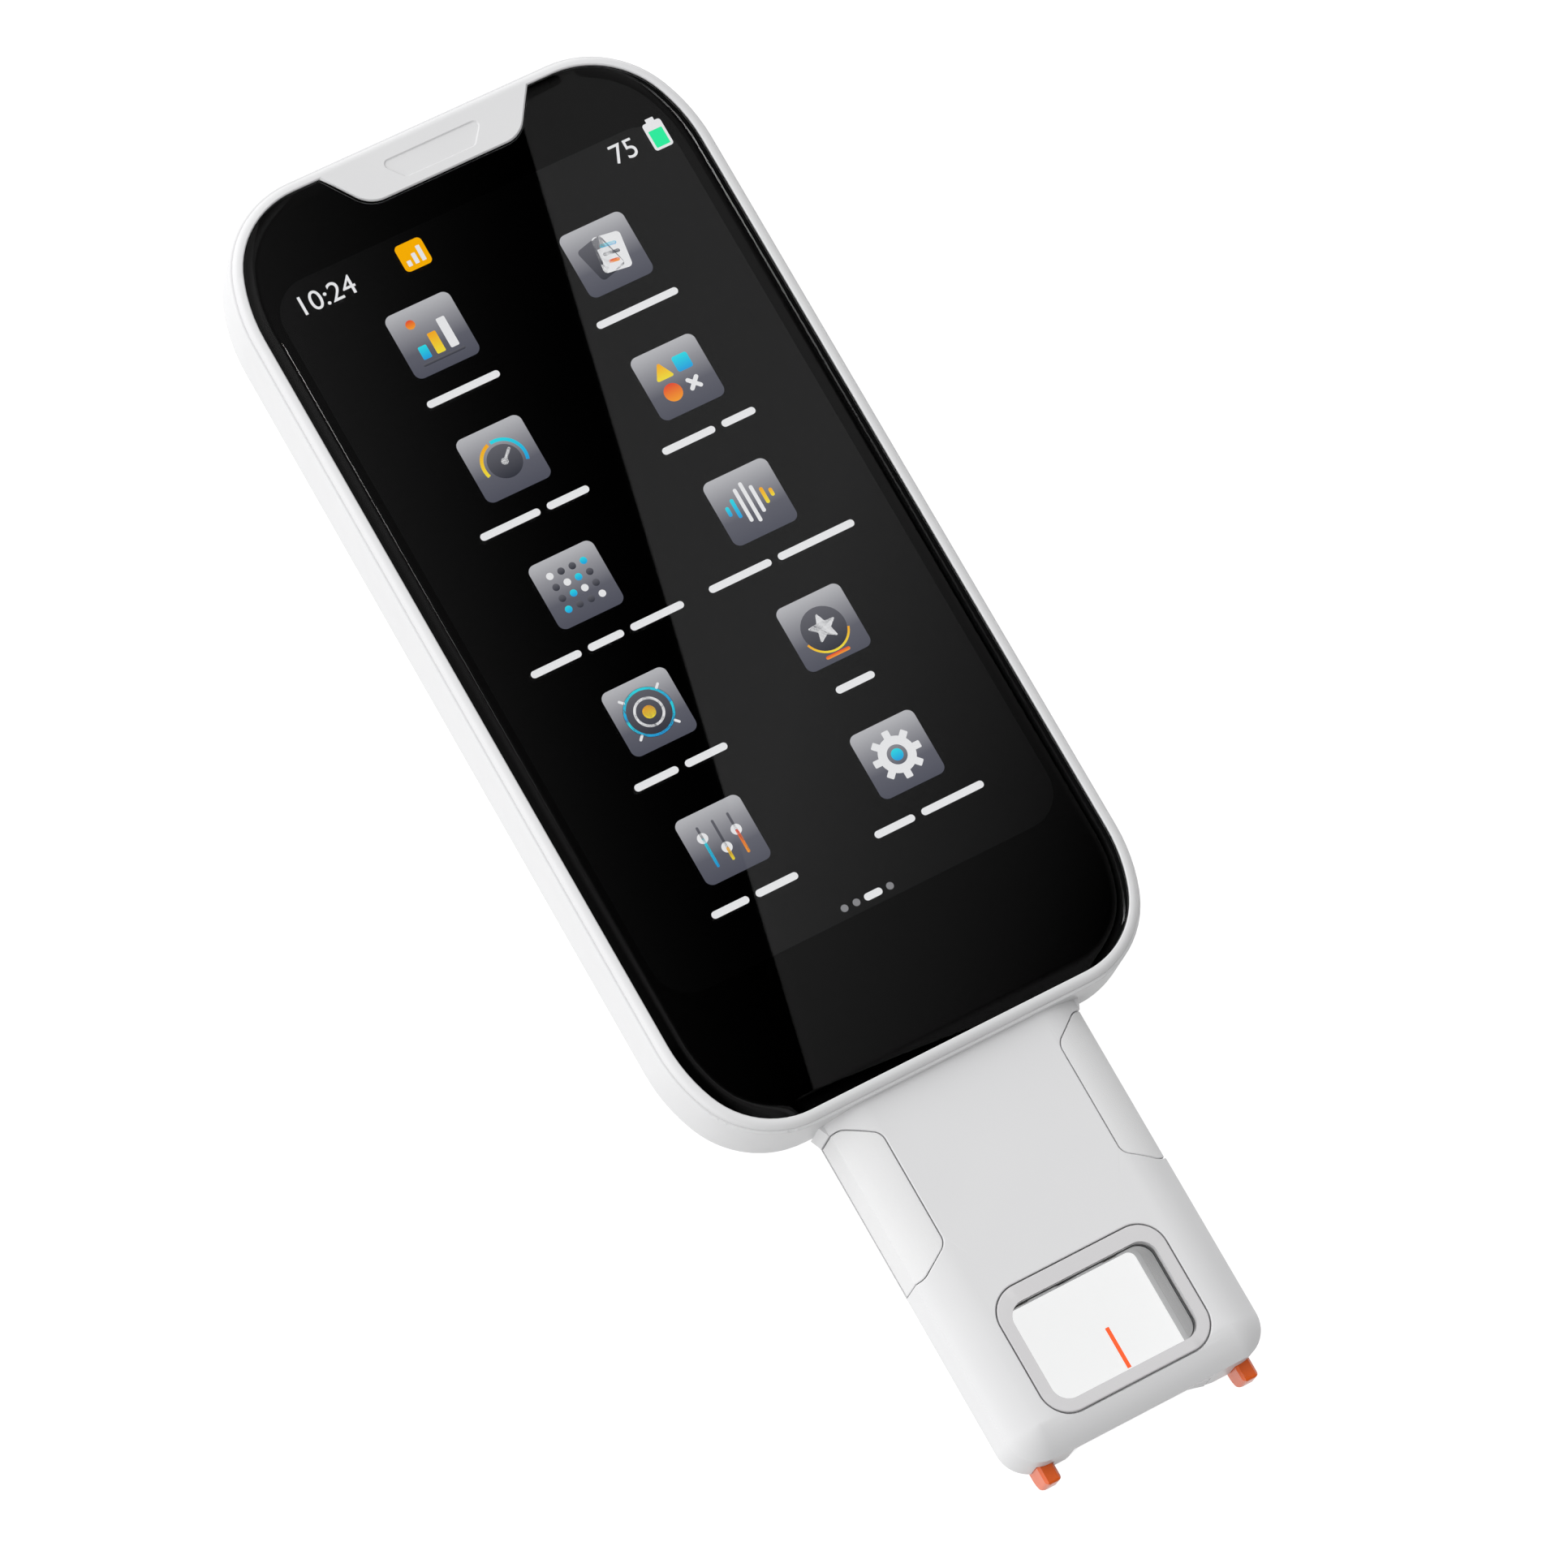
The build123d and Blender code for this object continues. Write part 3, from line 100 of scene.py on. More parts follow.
def rounded(points, radii, steps=8):
    """A polygon with its corners rounded."""
    result = []
    for i, corner in enumerate(points):
        radius = radii[i] if isinstance(radii, (list, tuple)) else radii
        if radius == 0:
            result.append(corner)
            continue
        b = Vector(corner)
        to_a = (Vector(points[i - 1]) - b).normalized()
        to_c = (Vector(points[(i + 1) % len(points)]) - b).normalized()
        half = to_a.angle(to_c) / 2
        centre = b + (to_a + to_c).normalized() * radius / math.sin(half)
        first = b + to_a * radius / math.tan(half) - centre
        turn = first.angle_signed(b + to_c * radius / math.tan(half) - centre)
        for k in range(steps + 1):
            p = centre + Matrix.Rotation(-turn * k / steps, 2) @ first
            result.append((p.x, p.y))
    return result


def box_points(centre, width, height, angle=0):
    """Corners of a rectangle, turned by an angle in degrees."""
    turn = Matrix.Rotation(math.radians(angle), 2)
    found = [turn @ Vector((x * width / 2, y * height / 2)) for x, y in SQUARE]
    return [(centre[0] + p.x, centre[1] + p.y) for p in found]


def corner(grow, short, long):
    """Clockwise points round the upper right corner of the glass opening, grown outwards."""
    s, c = math.sin(math.radians(CORNER_SPLIT)), math.cos(math.radians(CORNER_SPLIT))
    scale = s * c - (1 - s) * (1 - c)
    small = ((short + grow) * c - (long + grow) * (1 - s)) / scale
    large = ((long + grow) * s - (short + grow) * (1 - c)) / scale
    first = (GLASS_X - short, GLASS_Y + grow - small)
    second = (first[0] + (small - large) * s, first[1] + (small - large) * c)
    turned = 90 - CORNER_SPLIT
    bend = arc(first, small, 90, turned, TIGHT_STEPS)
    bend += arc(second, large, turned, 0, WIDE_STEPS)[1:]
    before = (bend[0][0] - STRAIGHT, bend[0][1])
    after = (bend[-1][0], bend[-1][1] - STRAIGHT)
    return [before] + bend + [after]


def outline(grow):
    """Clockwise plan shape of the glass opening, grown outwards."""
    lower = [(x, -y) for x, y in reversed(corner(grow, *LOW_CORNER))]
    right = corner(grow, *HIGH_CORNER) + lower
    return right + [(-x, y) for x, y in reversed(right)]


def glass_loop(inset):
    """Clockwise plan shape of the glass, its rim moved inwards, cut out for the tab."""
    top, low = GLASS_Y - SEAT - inset, GLASS_Y - TAB_DROP - SEAT
    wide = TAB_TOP + SEAT - inset * (TAB_TOP - TAB_LOW) / TAB_DROP
    corners = [(-wide, top), (-TAB_LOW - SEAT, low), (TAB_LOW + SEAT, low), (wide, top)]
    return outline(-SEAT - inset) + rounded(corners, [0, TAB_RADIUS, TAB_RADIUS, 0], 10)


def offset(points, distance):
    """A clockwise loop moved inwards, with mitred corners."""
    result = []
    for i, p in enumerate(points):
        p, a, c = Vector(p), Vector(points[i - 1]), Vector(points[(i + 1) % len(points)])
        one, two = (p - a).normalized(), (c - p).normalized()
        n1, n2 = Vector((one.y, -one.x)), Vector((two.y, -two.x))
        moved = p + (n1 + n2) * distance / (1 + n1.dot(n2))
        result.append((moved.x, moved.y))
    return result


# ---------------------------------------------------------------- mesh pieces

SHARP_ANGLE = 30  # degrees between two faces from which their edge stays sharp
FLAT_FROM = 5  # corners from which a face is taken for a large flat one


def finish_piece(name, mesh, body, materials, replaced=()):
    """Makes the mesh a piece that rides on a body, smooth but for its large flat faces."""
    mesh.set_sharp_from_angle(angle=math.radians(SHARP_ANGLE))
    smooth = [len(face.vertices) < FLAT_FROM for face in mesh.polygons]
    mesh.polygons.foreach_set("use_smooth", smooth)
    for material in materials:
        mesh.materials.append(material)
    piece = bpy.data.objects.new(name, mesh)
    bpy.context.scene.collection.objects.link(piece)
    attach(piece, body)
    if replaced:
        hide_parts(*replaced)
    return piece


def closed_mesh(name, bm):
    """The mesh of a finished bmesh, with its faces turned outwards."""
    bmesh.ops.recalc_face_normals(bm, faces=bm.faces)
    mesh = bpy.data.meshes.new(name)
    bm.to_mesh(mesh)
    bm.free()
    return mesh


def darken_sides(mesh, upright):
    """Gives the faces whose normal rises less than a limit the second material."""
    for face in mesh.polygons:
        face.material_index = int(abs(face.normal.z) < upright)


def rings_mesh(name, rings):
    """A closed solid through rings of points, each with its height, in mm."""
    bm = bmesh.new()
    made = [[bm.verts.new((x * MM, y * MM, z * MM)) for x, y in points] for points, z in rings]
    for low, high in zip(made, made[1:]):
        for i in range(len(low)):
            bm.faces.new((low[i - 1], low[i], high[i], high[i - 1]))
    bm.faces.new(made[0])
    bm.faces.new(made[-1])
    return closed_mesh(name, bm)


def plates_mesh(name, plates, z):
    """Flat prisms in one mesh.

    A plate is its points, its material's index, and its shade at low y and at high y.
    """
    bm = bmesh.new()
    shade = bm.verts.layers.float.new("shade")
    for points, index, low_shade, high_shade in plates:
        ys = [y for _, y in points]
        span = max(ys) - min(ys)
        layers = []
        for height in z:
            layer = []
            for x, y in points:
                v = bm.verts.new((x * MM, y * MM, height * MM))
                v[shade] = low_shade + (high_shade - low_shade) * (y - min(ys)) / span
                layer.append(v)
            layers.append(layer)
        faces = [bm.faces.new(layer) for layer in layers]
        below, above = layers
        for i in range(len(points)):
            faces.append(bm.faces.new((below[i - 1], below[i], above[i], above[i - 1])))
        for face in faces:
            face.material_index = index
    return closed_mesh(name, bm)


def screen_piece(name, plates, z, materials):
    """A piece of the screen's picture, made of flat plates."""
    finish_piece(name, plates_mesh(name, plates, z), "housing", materials)


# ---------------------------------------------------------------- materials

NOISE_LOW, NOISE_HIGH = 0.3, 0.7  # the range that a noise texture mostly keeps to
GLOSS_FINER = 8  # times that the gloss changes more finely than the tone
PIXEL_SCALE, PIXEL_DIM = 9000, 0.97  # in waves per metre, and how bright the dimmest are


def node_material(name):
    """A new material with its node tree and main shader."""
    material = bpy.data.materials.new(name)
    material.use_nodes = True
    tree = material.node_tree
    return material, tree, tree.nodes["Principled BSDF"]


def add(tree, kind, **values):
    """A new node, with values for its properties or its inputs."""
    node = tree.nodes.new(kind)
    for key, value in values.items():
        if key in node.inputs:
            node.inputs[key].default_value = value
        else:
            setattr(node, key, value)
    return node


def noise(tree, scale, detail=2.0):
    """Noise in the object's own coordinates, scale in waves per metre."""
    place = add(tree, "ShaderNodeTexCoord")
    found = add(tree, "ShaderNodeTexNoise", Scale=scale, Detail=detail)
    tree.links.new(place.outputs["Object"], found.inputs["Vector"])
    return found.outputs["Fac"]


def spread(tree, source, low, high):
    """A noise value stretched to a range."""
    found = add(tree, "ShaderNodeMapRange")
    found.inputs["From Min"].default_value = NOISE_LOW
    found.inputs["From Max"].default_value = NOISE_HIGH
    found.inputs["To Min"].default_value = low
    found.inputs["To Max"].default_value = high
    tree.links.new(source, found.inputs["Value"])
    return found.outputs["Result"]


def mixed(tree, factor, one, two):
    """Two colours mixed by a value."""
    found = add(tree, "ShaderNodeMix", data_type="RGBA")
    found.inputs["A"].default_value = (*one, 1)
    found.inputs["B"].default_value = (*two, 1)
    tree.links.new(factor, found.inputs["Factor"])
    return found.outputs["Result"]


def grained(name, colour, other, rough, grain_scale, grain_depth, tone_scale=60, **shader):
    """A moulded or coated surface: slow tone changes, uneven gloss and a fine grain."""
    material, tree, bsdf = node_material(name)
    for key, value in shader.items():
        bsdf.inputs[key.replace("_", " ")].default_value = value
    tone = spread(tree, noise(tree, tone_scale, 3), 0, 1)
    tree.links.new(mixed(tree, tone, colour, other), bsdf.inputs["Base Color"])
    gloss = spread(tree, noise(tree, tone_scale * GLOSS_FINER, 4), *rough)
    tree.links.new(gloss, bsdf.inputs["Roughness"])
    bump = add(tree, "ShaderNodeBump", Strength=1.0, Distance=grain_depth * MM)
    tree.links.new(noise(tree, grain_scale, 2), bump.inputs["Height"])
    tree.links.new(bump.outputs["Normal"], bsdf.inputs["Normal"])
    return material


def brushed(name, colour, other, rough, stretch):
    """Metal with fine lines along one axis."""
    material, tree, bsdf = node_material(name)
    bsdf.inputs["Metallic"].default_value = 1.0
    place = add(tree, "ShaderNodeTexCoord")
    mapping = add(tree, "ShaderNodeMapping")
    mapping.inputs["Scale"].default_value = stretch
    lines = add(tree, "ShaderNodeTexNoise", Scale=1.0, Detail=3.0)
    tree.links.new(place.outputs["Object"], mapping.inputs["Vector"])
    tree.links.new(mapping.outputs["Vector"], lines.inputs["Vector"])
    tree.links.new(mixed(tree, lines.outputs["Fac"], colour, other), bsdf.inputs["Base Color"])
    tree.links.new(spread(tree, lines.outputs["Fac"], *rough), bsdf.inputs["Roughness"])
    return material


def glowing(name, rough, mirror):
    """A black surface that gives light of its own, whose colour is still to be linked."""
    material, tree, bsdf = node_material(name)
    bsdf.inputs["Base Color"].default_value = (0, 0, 0, 1)
    bsdf.inputs["Roughness"].default_value = rough
    bsdf.inputs["Specular IOR Level"].default_value = mirror
    bsdf.inputs["Emission Strength"].default_value = 1.0
    return material, tree, bsdf


def lit(name, colour, mirror=0.0):
    """Part of the screen's picture in one colour, a little uneven by its pixels."""
    material, tree, bsdf = glowing(name, 0.01, mirror)
    tone = spread(tree, noise(tree, PIXEL_SCALE, 1), 0, 1)
    dim = [c * PIXEL_DIM for c in colour]
    tree.links.new(mixed(tree, tone, colour, dim), bsdf.inputs["Emission Color"])
    return material


def lit_ramp(name, stops):
    """Part of the screen's picture with a gradient that follows the shade of its points."""
    material, tree, bsdf = glowing(name, 0.5, 0.0)
    shade = add(tree, "ShaderNodeAttribute", attribute_name="shade")
    ramp = add(tree, "ShaderNodeValToRGB")
    ramp.color_ramp.elements[0].position = stops[0][0]
    ramp.color_ramp.elements[0].color = (*stops[0][1], 1)
    ramp.color_ramp.elements[1].position = stops[-1][0]
    ramp.color_ramp.elements[1].color = (*stops[-1][1], 1)
    for position, colour in stops[1:-1]:
        ramp.color_ramp.elements.new(position).color = (*colour, 1)
    tree.links.new(shade.outputs["Fac"], ramp.inputs["Fac"])
    tree.links.new(ramp.outputs["Color"], bsdf.inputs["Emission Color"])
    return material


def clear(name, tint, smear, ior=1.5):
    """Clear glass or acrylic with faint smears."""
    material, tree, bsdf = node_material(name)
    bsdf.inputs["Transmission Weight"].default_value = 1.0
    bsdf.inputs["IOR"].default_value = ior
    bsdf.inputs["Base Color"].default_value = (*tint, 1)
    smears = spread(tree, noise(tree, 90, 4), 0.0, smear)
    tree.links.new(smears, bsdf.inputs["Roughness"])
    return material


shell = grained("shell_white", (0.635, 0.635, 0.64), (0.62, 0.62, 0.627), (0.36, 0.42),
                7000, 0.006)
key_white = grained("key_white", (0.62, 0.62, 0.625), (0.60, 0.60, 0.61), (0.3, 0.36),
                    7000, 0.005)
ring_white = grained("ring_white", (0.565, 0.56, 0.565), (0.555, 0.545, 0.555), (0.34, 0.4),
                     7000, 0.005)
grip_grey = grained("grip_soft", (0.66, 0.66, 0.662), (0.64, 0.64, 0.645), (0.5, 0.6),
                    9000, 0.02)
orange = grained("orange_moulding", (0.68, 0.1, 0.006), (0.63, 0.09, 0.005), (0.25, 0.33),
                 7000, 0.006, Coat_Weight=0.15)
mark = grained("orange_print", (1.0, 0.105, 0.008), (0.95, 0.095, 0.007), (0.4, 0.5),
               9000, 0.002)
smoked = grained("smoked_acrylic", (0.035, 0.04, 0.06), (0.03, 0.035, 0.052), (0.08, 0.14),
                 3000, 0.001, Coat_Weight=0.5)
black = grained("black_moulding", (0.02, 0.02, 0.022), (0.028, 0.028, 0.03), (0.5, 0.6),
                8000, 0.02)
ink = grained("glass_ink", (0.0008, 0.0008, 0.0008), (0.001, 0.001, 0.001), (0.5, 0.6),
              5000, 0.001, Specular_IOR_Level=0.0)
pane_edge = grained("pane_edge", (0.15, 0.15, 0.155), (0.12, 0.12, 0.125), (0.5, 0.6),
                    7000, 0.003)
rubber = grained("plug_rubber", (0.6, 0.6, 0.61), (0.56, 0.56, 0.57), (0.7, 0.8), 6000, 0.03)
board = grained("solder_mask", (0.015, 0.1, 0.045), (0.03, 0.15, 0.07), (0.3, 0.45),
                2500, 0.02, tone_scale=700)
amber = grained("flat_cable", (0.42, 0.17, 0.03), (0.35, 0.13, 0.02), (0.3, 0.4), 3000, 0.005)
lamp = grained("lamp_body", (0.75, 0.7, 0.45), (0.7, 0.65, 0.4), (0.4, 0.5), 4000, 0.01)
foil = brushed("pouch_foil", (0.55, 0.56, 0.58), (0.48, 0.49, 0.51), (0.35, 0.5),
               (400, 400, 400))
steel = brushed("plated_steel", (0.62, 0.62, 0.63), (0.5, 0.5, 0.51), (0.22, 0.38),
                (300, 6000, 6000))
glass = clear("cover_glass", (0.98, 0.985, 0.99), 0.006)
acrylic = clear("window_acrylic", (0.995, 1.0, 1.0), 0.01, 1.49)

NODE_LOOKS = {
    shell: ("rear_cover", "front_housing", "head_front_shell", "head_rear_shell"),
    ring_white: ("window_bezel",),
    key_white: ("power_button", "volume_rocker"),
    grip_grey: ("grip_left", "grip_right"),
    orange: ("trigger_fork",),
    mark: ("centre_mark",),
    smoked: ("scan_window", "camera_lens"),
    black: ("speaker", "side_switches", "scan_camera", "trigger_switch", "display_panel"),
    rubber: ("screw_plugs",),
    board: ("main_board", "head_board"),
    amber: ("display_flex", "head_flex"),
    lamp: ("scan_lamps",),
    foil: ("battery",),
    steel: ("screen_plate", "case_screws", "board_screws", "head_screws", "tongue_screws",
            "board_shields", "usb_port", "microphone", "trigger_spring"),
    glass: ("cover_glass",),
    acrylic: ("window_pane",),
}


NODE_ANGLE = 24  # degrees between two faces of a CAD node from which their edge stays sharp
WELD_REACH = 1e-6  # in metres
FACE_WEIGHT = 80  # of large faces in the normals of their corners


def smooth_by_angle():
    """Geometry nodes that leave only sharp edges sharp."""
    group = bpy.data.node_groups.new("smooth_by_angle", "GeometryNodeTree")
    group.interface.new_socket("Geometry", in_out="INPUT", socket_type="NodeSocketGeometry")
    group.interface.new_socket("Geometry", in_out="OUTPUT", socket_type="NodeSocketGeometry")
    start, end = group.nodes.new("NodeGroupInput"), group.nodes.new("NodeGroupOutput")
    angle = group.nodes.new("GeometryNodeInputMeshEdgeAngle")
    above = group.nodes.new("FunctionNodeCompare")
    above.data_type, above.operation = "FLOAT", "GREATER_THAN"
    above.inputs[1].default_value = math.radians(NODE_ANGLE)
    faces = group.nodes.new("GeometryNodeSetShadeSmooth")
    faces.domain = "FACE"
    edges = group.nodes.new("GeometryNodeSetShadeSmooth")
    edges.domain = "EDGE"
    edges.inputs["Shade Smooth"].default_value = False
    links = group.links
    links.new(start.outputs[0], faces.inputs["Geometry"])
    links.new(faces.outputs["Geometry"], edges.inputs["Geometry"])
    links.new(angle.outputs["Unsigned Angle"], above.inputs[0])
    links.new(above.outputs[0], edges.inputs["Selection"])
    links.new(edges.outputs["Geometry"], end.inputs[0])
    return group


def dress_nodes():
    """Gives every CAD node its material and smooth shading."""
    group = smooth_by_angle()
    for material, names in NODE_LOOKS.items():
        for name in names:
            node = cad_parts[name]
            node.data.materials.clear()
            node.data.materials.append(material)
            weld = node.modifiers.new("weld", "WELD")
            weld.merge_threshold = WELD_REACH
            node.modifiers.new("smooth", "NODES").node_group = group
            weighted = node.modifiers.new("normals", "WEIGHTED_NORMAL")
            weighted.keep_sharp = True
            weighted.weight = FACE_WEIGHT


dress_nodes()


# ---------------------------------------------------------------- glass and screen

def cover_glass():
    """The glass with its sloping edge and dark sides, and the black print on its back."""
    edge = FRONT - EDGE_DROP
    rings = [(glass_loop(BACK_LIP), PANE[0]), (glass_loop(0), PANE[0] + BACK_LIP)]
    rings += [(glass_loop(inset), edge + rise) for inset, rise in FRONT_LIP]
    foot = FRONT_LIP[-1][0]
    for i in range(1, SLOPE_STEPS + 1):
        share = i / SLOPE_STEPS
        loop = glass_loop(foot + (EDGE_WIDTH - foot) * share)
        rings.append((loop, edge + EDGE_DROP * share * (2 - share)))
    mesh = rings_mesh("cover_glass_pane", rings)
    finish_piece("cover_glass_pane", mesh, "housing", [glass, ink], ["cover_glass"])
    darken_sides(mesh, 0.8)
    back = offset(glass_loop(0), PRINT_INSET)
    mesh = rings_mesh("glass_print", [(back, INK[0]), (back, INK[1])])
    finish_piece("glass_print", mesh, "housing", [ink])


ORIGIN_X, ORIGIN_GAP = 27.57, 0.025  # of the glass's corner, as seen in the photograph


def from_glass(x, y):
    """A point measured from the glass's lower left corner, in the CAD frame's mm."""
    return x - ORIGIN_X, y - GLASS_Y - ORIGIN_GAP


def pane():
    """The clear pane of the sighting window, dark at its cut edges."""
    low, high = [Vector(p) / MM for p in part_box("window_pane")]
    middle, size = (low + high) / 2, high - low
    width, height = [side + 2 * PANE_GROWTH for side in (size.x, size.y)]
    corners = box_points((middle.x, middle.y), width, height)
    loop = list(reversed(rounded(corners, PANE_RADIUS, 12)))
    face = offset(loop, PANE_BEVEL)
    rings = [(face, low.z), (loop, low.z + PANE_BEVEL)]
    rings += [(loop, high.z - PANE_BEVEL), (face, high.z)]
    mesh = rings_mesh("sight_pane", rings)
    looks = [acrylic, pane_edge]
    finish_piece("sight_pane", mesh, "housing", looks, ["window_pane"])
    darken_sides(mesh, 0.9)


def notch(grow):
    """Three points round the corner of the screen's opening that cuts into the rim."""
    curve = corner(grow, *HIGH_CORNER)
    steps = list(zip(curve, curve[1:]))
    a, b = next(step for step in steps if step[1][1] < NOTCH_Y)
    high = (a[0] + (b[0] - a[0]) * (a[1] - NOTCH_Y) / (a[1] - b[1]), NOTCH_Y)
    a, b = next(step for step in steps if step[1][0] > NOTCH_X)
    low = (NOTCH_X, a[1] + (b[1] - a[1]) * (NOTCH_X - a[0]) / (b[0] - a[0]))
    return [high, (NOTCH_X, NOTCH_Y), low]


def rim_corner(name, side):
    """Fills that corner of the opening, so that the rim runs on over it."""
    levels = ((0, GLASS_LOW), (0, FRONT - RIM_CHAMFER), (RIM_CHAMFER, FRONT - FILL_DROP))
    rings = [([(side * x, y) for x, y in notch(grow)], height) for grow, height in levels]
    finish_piece(name, rings_mesh(name, rings), "housing", [shell])


def leaf_spring():
    """The trigger's leaf spring, one fixed arc; the real one flattens towards its posts as the
    fork comes in.
    """
    low, high = [Vector(p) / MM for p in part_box("trigger_spring")]
    half, rise = (high.x - low.x) / 2, high.y - low.y - LEAF
    radius = (half * half + rise * rise) / (2 * rise)
    centre = ((low.x + high.x) / 2, low.y + LEAF / 2 + radius)
    turned = math.degrees(math.asin(half / radius))
    loop = arc(centre, radius - LEAF / 2, -90 - turned, -90 + turned, LEAF_STEPS)
    loop += arc(centre, radius + LEAF / 2, -90 + turned, -90 - turned, LEAF_STEPS)
    mesh = rings_mesh("leaf_spring", [(loop, low.z), (loop, high.z)])
    piece = finish_piece("leaf_spring", mesh, "housing", [steel], ["trigger_spring"])
    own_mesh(piece)


cover_glass()
pane()
leaf_spring()
rim_corner("rim_corner_left", -1)
rim_corner("rim_corner_right", 1)

LIT_LOW, LIT_HIGH = from_glass(2.7, 16.8), from_glass(52.5, 107.2)
LIT_RADIUS = 4.5
lit_corners = [LIT_LOW, (LIT_HIGH[0], LIT_LOW[1]), LIT_HIGH, (LIT_LOW[0], LIT_HIGH[1])]
lit_black = lit("lit_black", (0.0003, 0.0003, 0.0003), 0.7)
screen_piece("lit_area", [(rounded(lit_corners, LIT_RADIUS), 0, 0, 1)], LIT, [lit_black])


# ---------------------------------------------------------------- menu

# Places on the screen are measured from the glass's lower left corner, in mm. The numbers in
# the drawings are mm from the middle of a motif.
TILE, TILE_RADIUS = 8.05, 0.9
COLUMNS = (16.9, 38.8)
ROWS = (95.2, 79.2, 63.0, 46.8, 30.6)
LABEL_DROP = 7.0
# The widths of the words under each tile
LABELS = (((9.0,), (7.4, 5.2), (6.2, 4.4, 6.6), (5.4, 5.2), (4.6, 5.2)),
          ((10.2,), (6.6, 4.2), (7.8, 9.6), (4.8,), (5.0, 7.8)))
WORD_GAP, LETTER_HEIGHT = 0.9, 0.85
WHITE, CYAN, YELLOW, SUNSET, SLATE, GREEN, AMBER, DIM = range(8)
PAGE_ROW, PAGE_HEIGHT = 18.0, 0.84
PAGE_DOTS = ((24.9, 0.85, DIM), (26.4, 0.85, DIM), (28.5, 2.2, WHITE), (30.6, 0.85, DIM))
DIGIT_HEIGHT = 3.3

motif_looks = [
    lit("screen_white", (0.85, 0.85, 0.86)),
    lit_ramp("screen_cyan", [(0, (0.02, 0.35, 0.75)), (1, (0.03, 0.72, 0.8))]),
    lit_ramp("screen_yellow", [(0, (0.9, 0.75, 0.05)), (1, (0.95, 0.4, 0.02))]),
    lit_ramp("screen_sunset", [(0, (0.95, 0.35, 0.03)), (1, (0.8, 0.06, 0.03))]),
    lit_ramp("screen_slate", [(0, (0.035, 0.037, 0.05)), (1, (0.13, 0.13, 0.15))]),
    lit("screen_green", (0.02, 0.9, 0.36)),
    lit("screen_amber", (1.0, 0.45, 0.0)),
    lit("screen_dim", (0.25, 0.25, 0.26)),
]
tile_look = lit_ramp("screen_tile", [
    (0.0, (0.085, 0.088, 0.115)), (0.35, (0.12, 0.122, 0.15)),
    (0.7, (0.3, 0.3, 0.325)), (1.0, (0.5, 0.5, 0.52)),
])

motifs = []


def plate(points, look):
    """Adds one flat shape to the menu's motifs."""
    motifs.append((points, look, 0.0, 1.0))


def disc(centre, radius, look, steps=32):
    """A round plate."""
    plate(arc(centre, radius, 0, 360 - 360 / steps, steps - 1), look)


def bar(centre, width, height, look, angle=0, round_ends=True):
    """A bar with round ends, or with slightly eased corners."""
    radius = min(width, height) * (0.49 if round_ends else 0.15)
    plate(rounded(box_points(centre, width, height, angle), radius, 5), look)


def band(centre, inner, outer, start, end, look):
    """Part of a ring."""
    steps = max(6, int(abs(end - start) / 8))
    outside = arc(centre, outer, start, end, steps)
    plate(outside + list(reversed(arc(centre, inner, start, end, steps))), look)


def ring(centre, inner, outer, look):
    """A whole ring, in quarters."""
    for quarter in range(4):
        band(centre, inner, outer, quarter * 90, quarter * 90 + 90, look)


def star(centre, outer, inner, count, look):
    """A star with softened points."""
    points = []
    for i in range(2 * count):
        a = math.radians(90 + 180 * i / count)
        r = inner if i % 2 else outer
        points.append((centre[0] + r * math.cos(a), centre[1] + r * math.sin(a)))
    plate(rounded(points, 0.12, 3), look)


def chart(x, y):
    """Rising bars under a dot."""
    for i, (height, look) in enumerate(((1.6, CYAN), (2.6, YELLOW), (3.7, WHITE))):
        bar((x - 1.7 + 1.7 * i, y - 2.2 + height / 2), 1.05, height, look, 0, False)
    bar((x, y - 2.75), 5.2, 0.32, SLATE)
    disc((x - 1.6, y + 2.1), 0.55, SUNSET)


def dial(x, y):
    """A gauge with its hand."""
    disc((x, y - 0.3), 2.0, SLATE)
    band((x, y - 0.3), 2.35, 2.75, -20, 100, CYAN)
    band((x, y - 0.3), 2.35, 2.75, 108, 200, YELLOW)
    bar((x + 0.55, y + 0.25), 1.9, 0.36, WHITE, 45)
    disc((x, y - 0.3), 0.42, WHITE)


def dots(x, y):
    """A field of dots with a bright diagonal."""
    for i in range(4):
        for k in range(4):
            look = CYAN if i == k else WHITE if i + k == 3 else SLATE
            disc((x - 2.1 + 1.4 * i, y - 2.1 + 1.4 * k), 0.42, look, 20)


def target(x, y):
    """Rings with a bright centre."""
    disc((x, y), 2.9, SLATE)
    ring((x, y), 2.55, 2.85, CYAN)
    ring((x, y), 1.45, 1.75, WHITE)
    disc((x, y), 0.75, YELLOW)
    for a in (45, 135, 225, 315):
        c = (x + 3.15 * math.cos(math.radians(a)), y + 3.15 * math.sin(math.radians(a)))
        bar(c, 0.8, 0.3, WHITE, a)


def sliders(x, y):
    """Sliders at different heights."""
    for i, (up, look) in enumerate(((1.1, CYAN), (-0.9, YELLOW), (0.4, SUNSET))):
        bar((x - 1.9 + 1.9 * i, y), 0.3, 5.0, SLATE)
        bar((x - 1.9 + 1.9 * i, y - 1.25 + up / 2), 0.34, 2.5 + up, look)
        disc((x - 1.9 + 1.9 * i, y + up), 0.62, WHITE)


def sheets(x, y):
    """Two leaning sheets."""
    plate(rounded(box_points((x - 0.7, y - 0.1), 3.4, 4.4, 14), 0.5), SLATE)
    plate(rounded(box_points((x + 0.7, y), 3.4, 4.4, -8), 0.5), WHITE)
    bar((x + 0.75, y + 1.0), 2.0, 0.42, CYAN, -8)
    bar((x + 0.65, y), 2.0, 0.42, SLATE, -8)
    bar((x + 0.5, y - 0.95), 1.3, 0.42, SUNSET, -8)


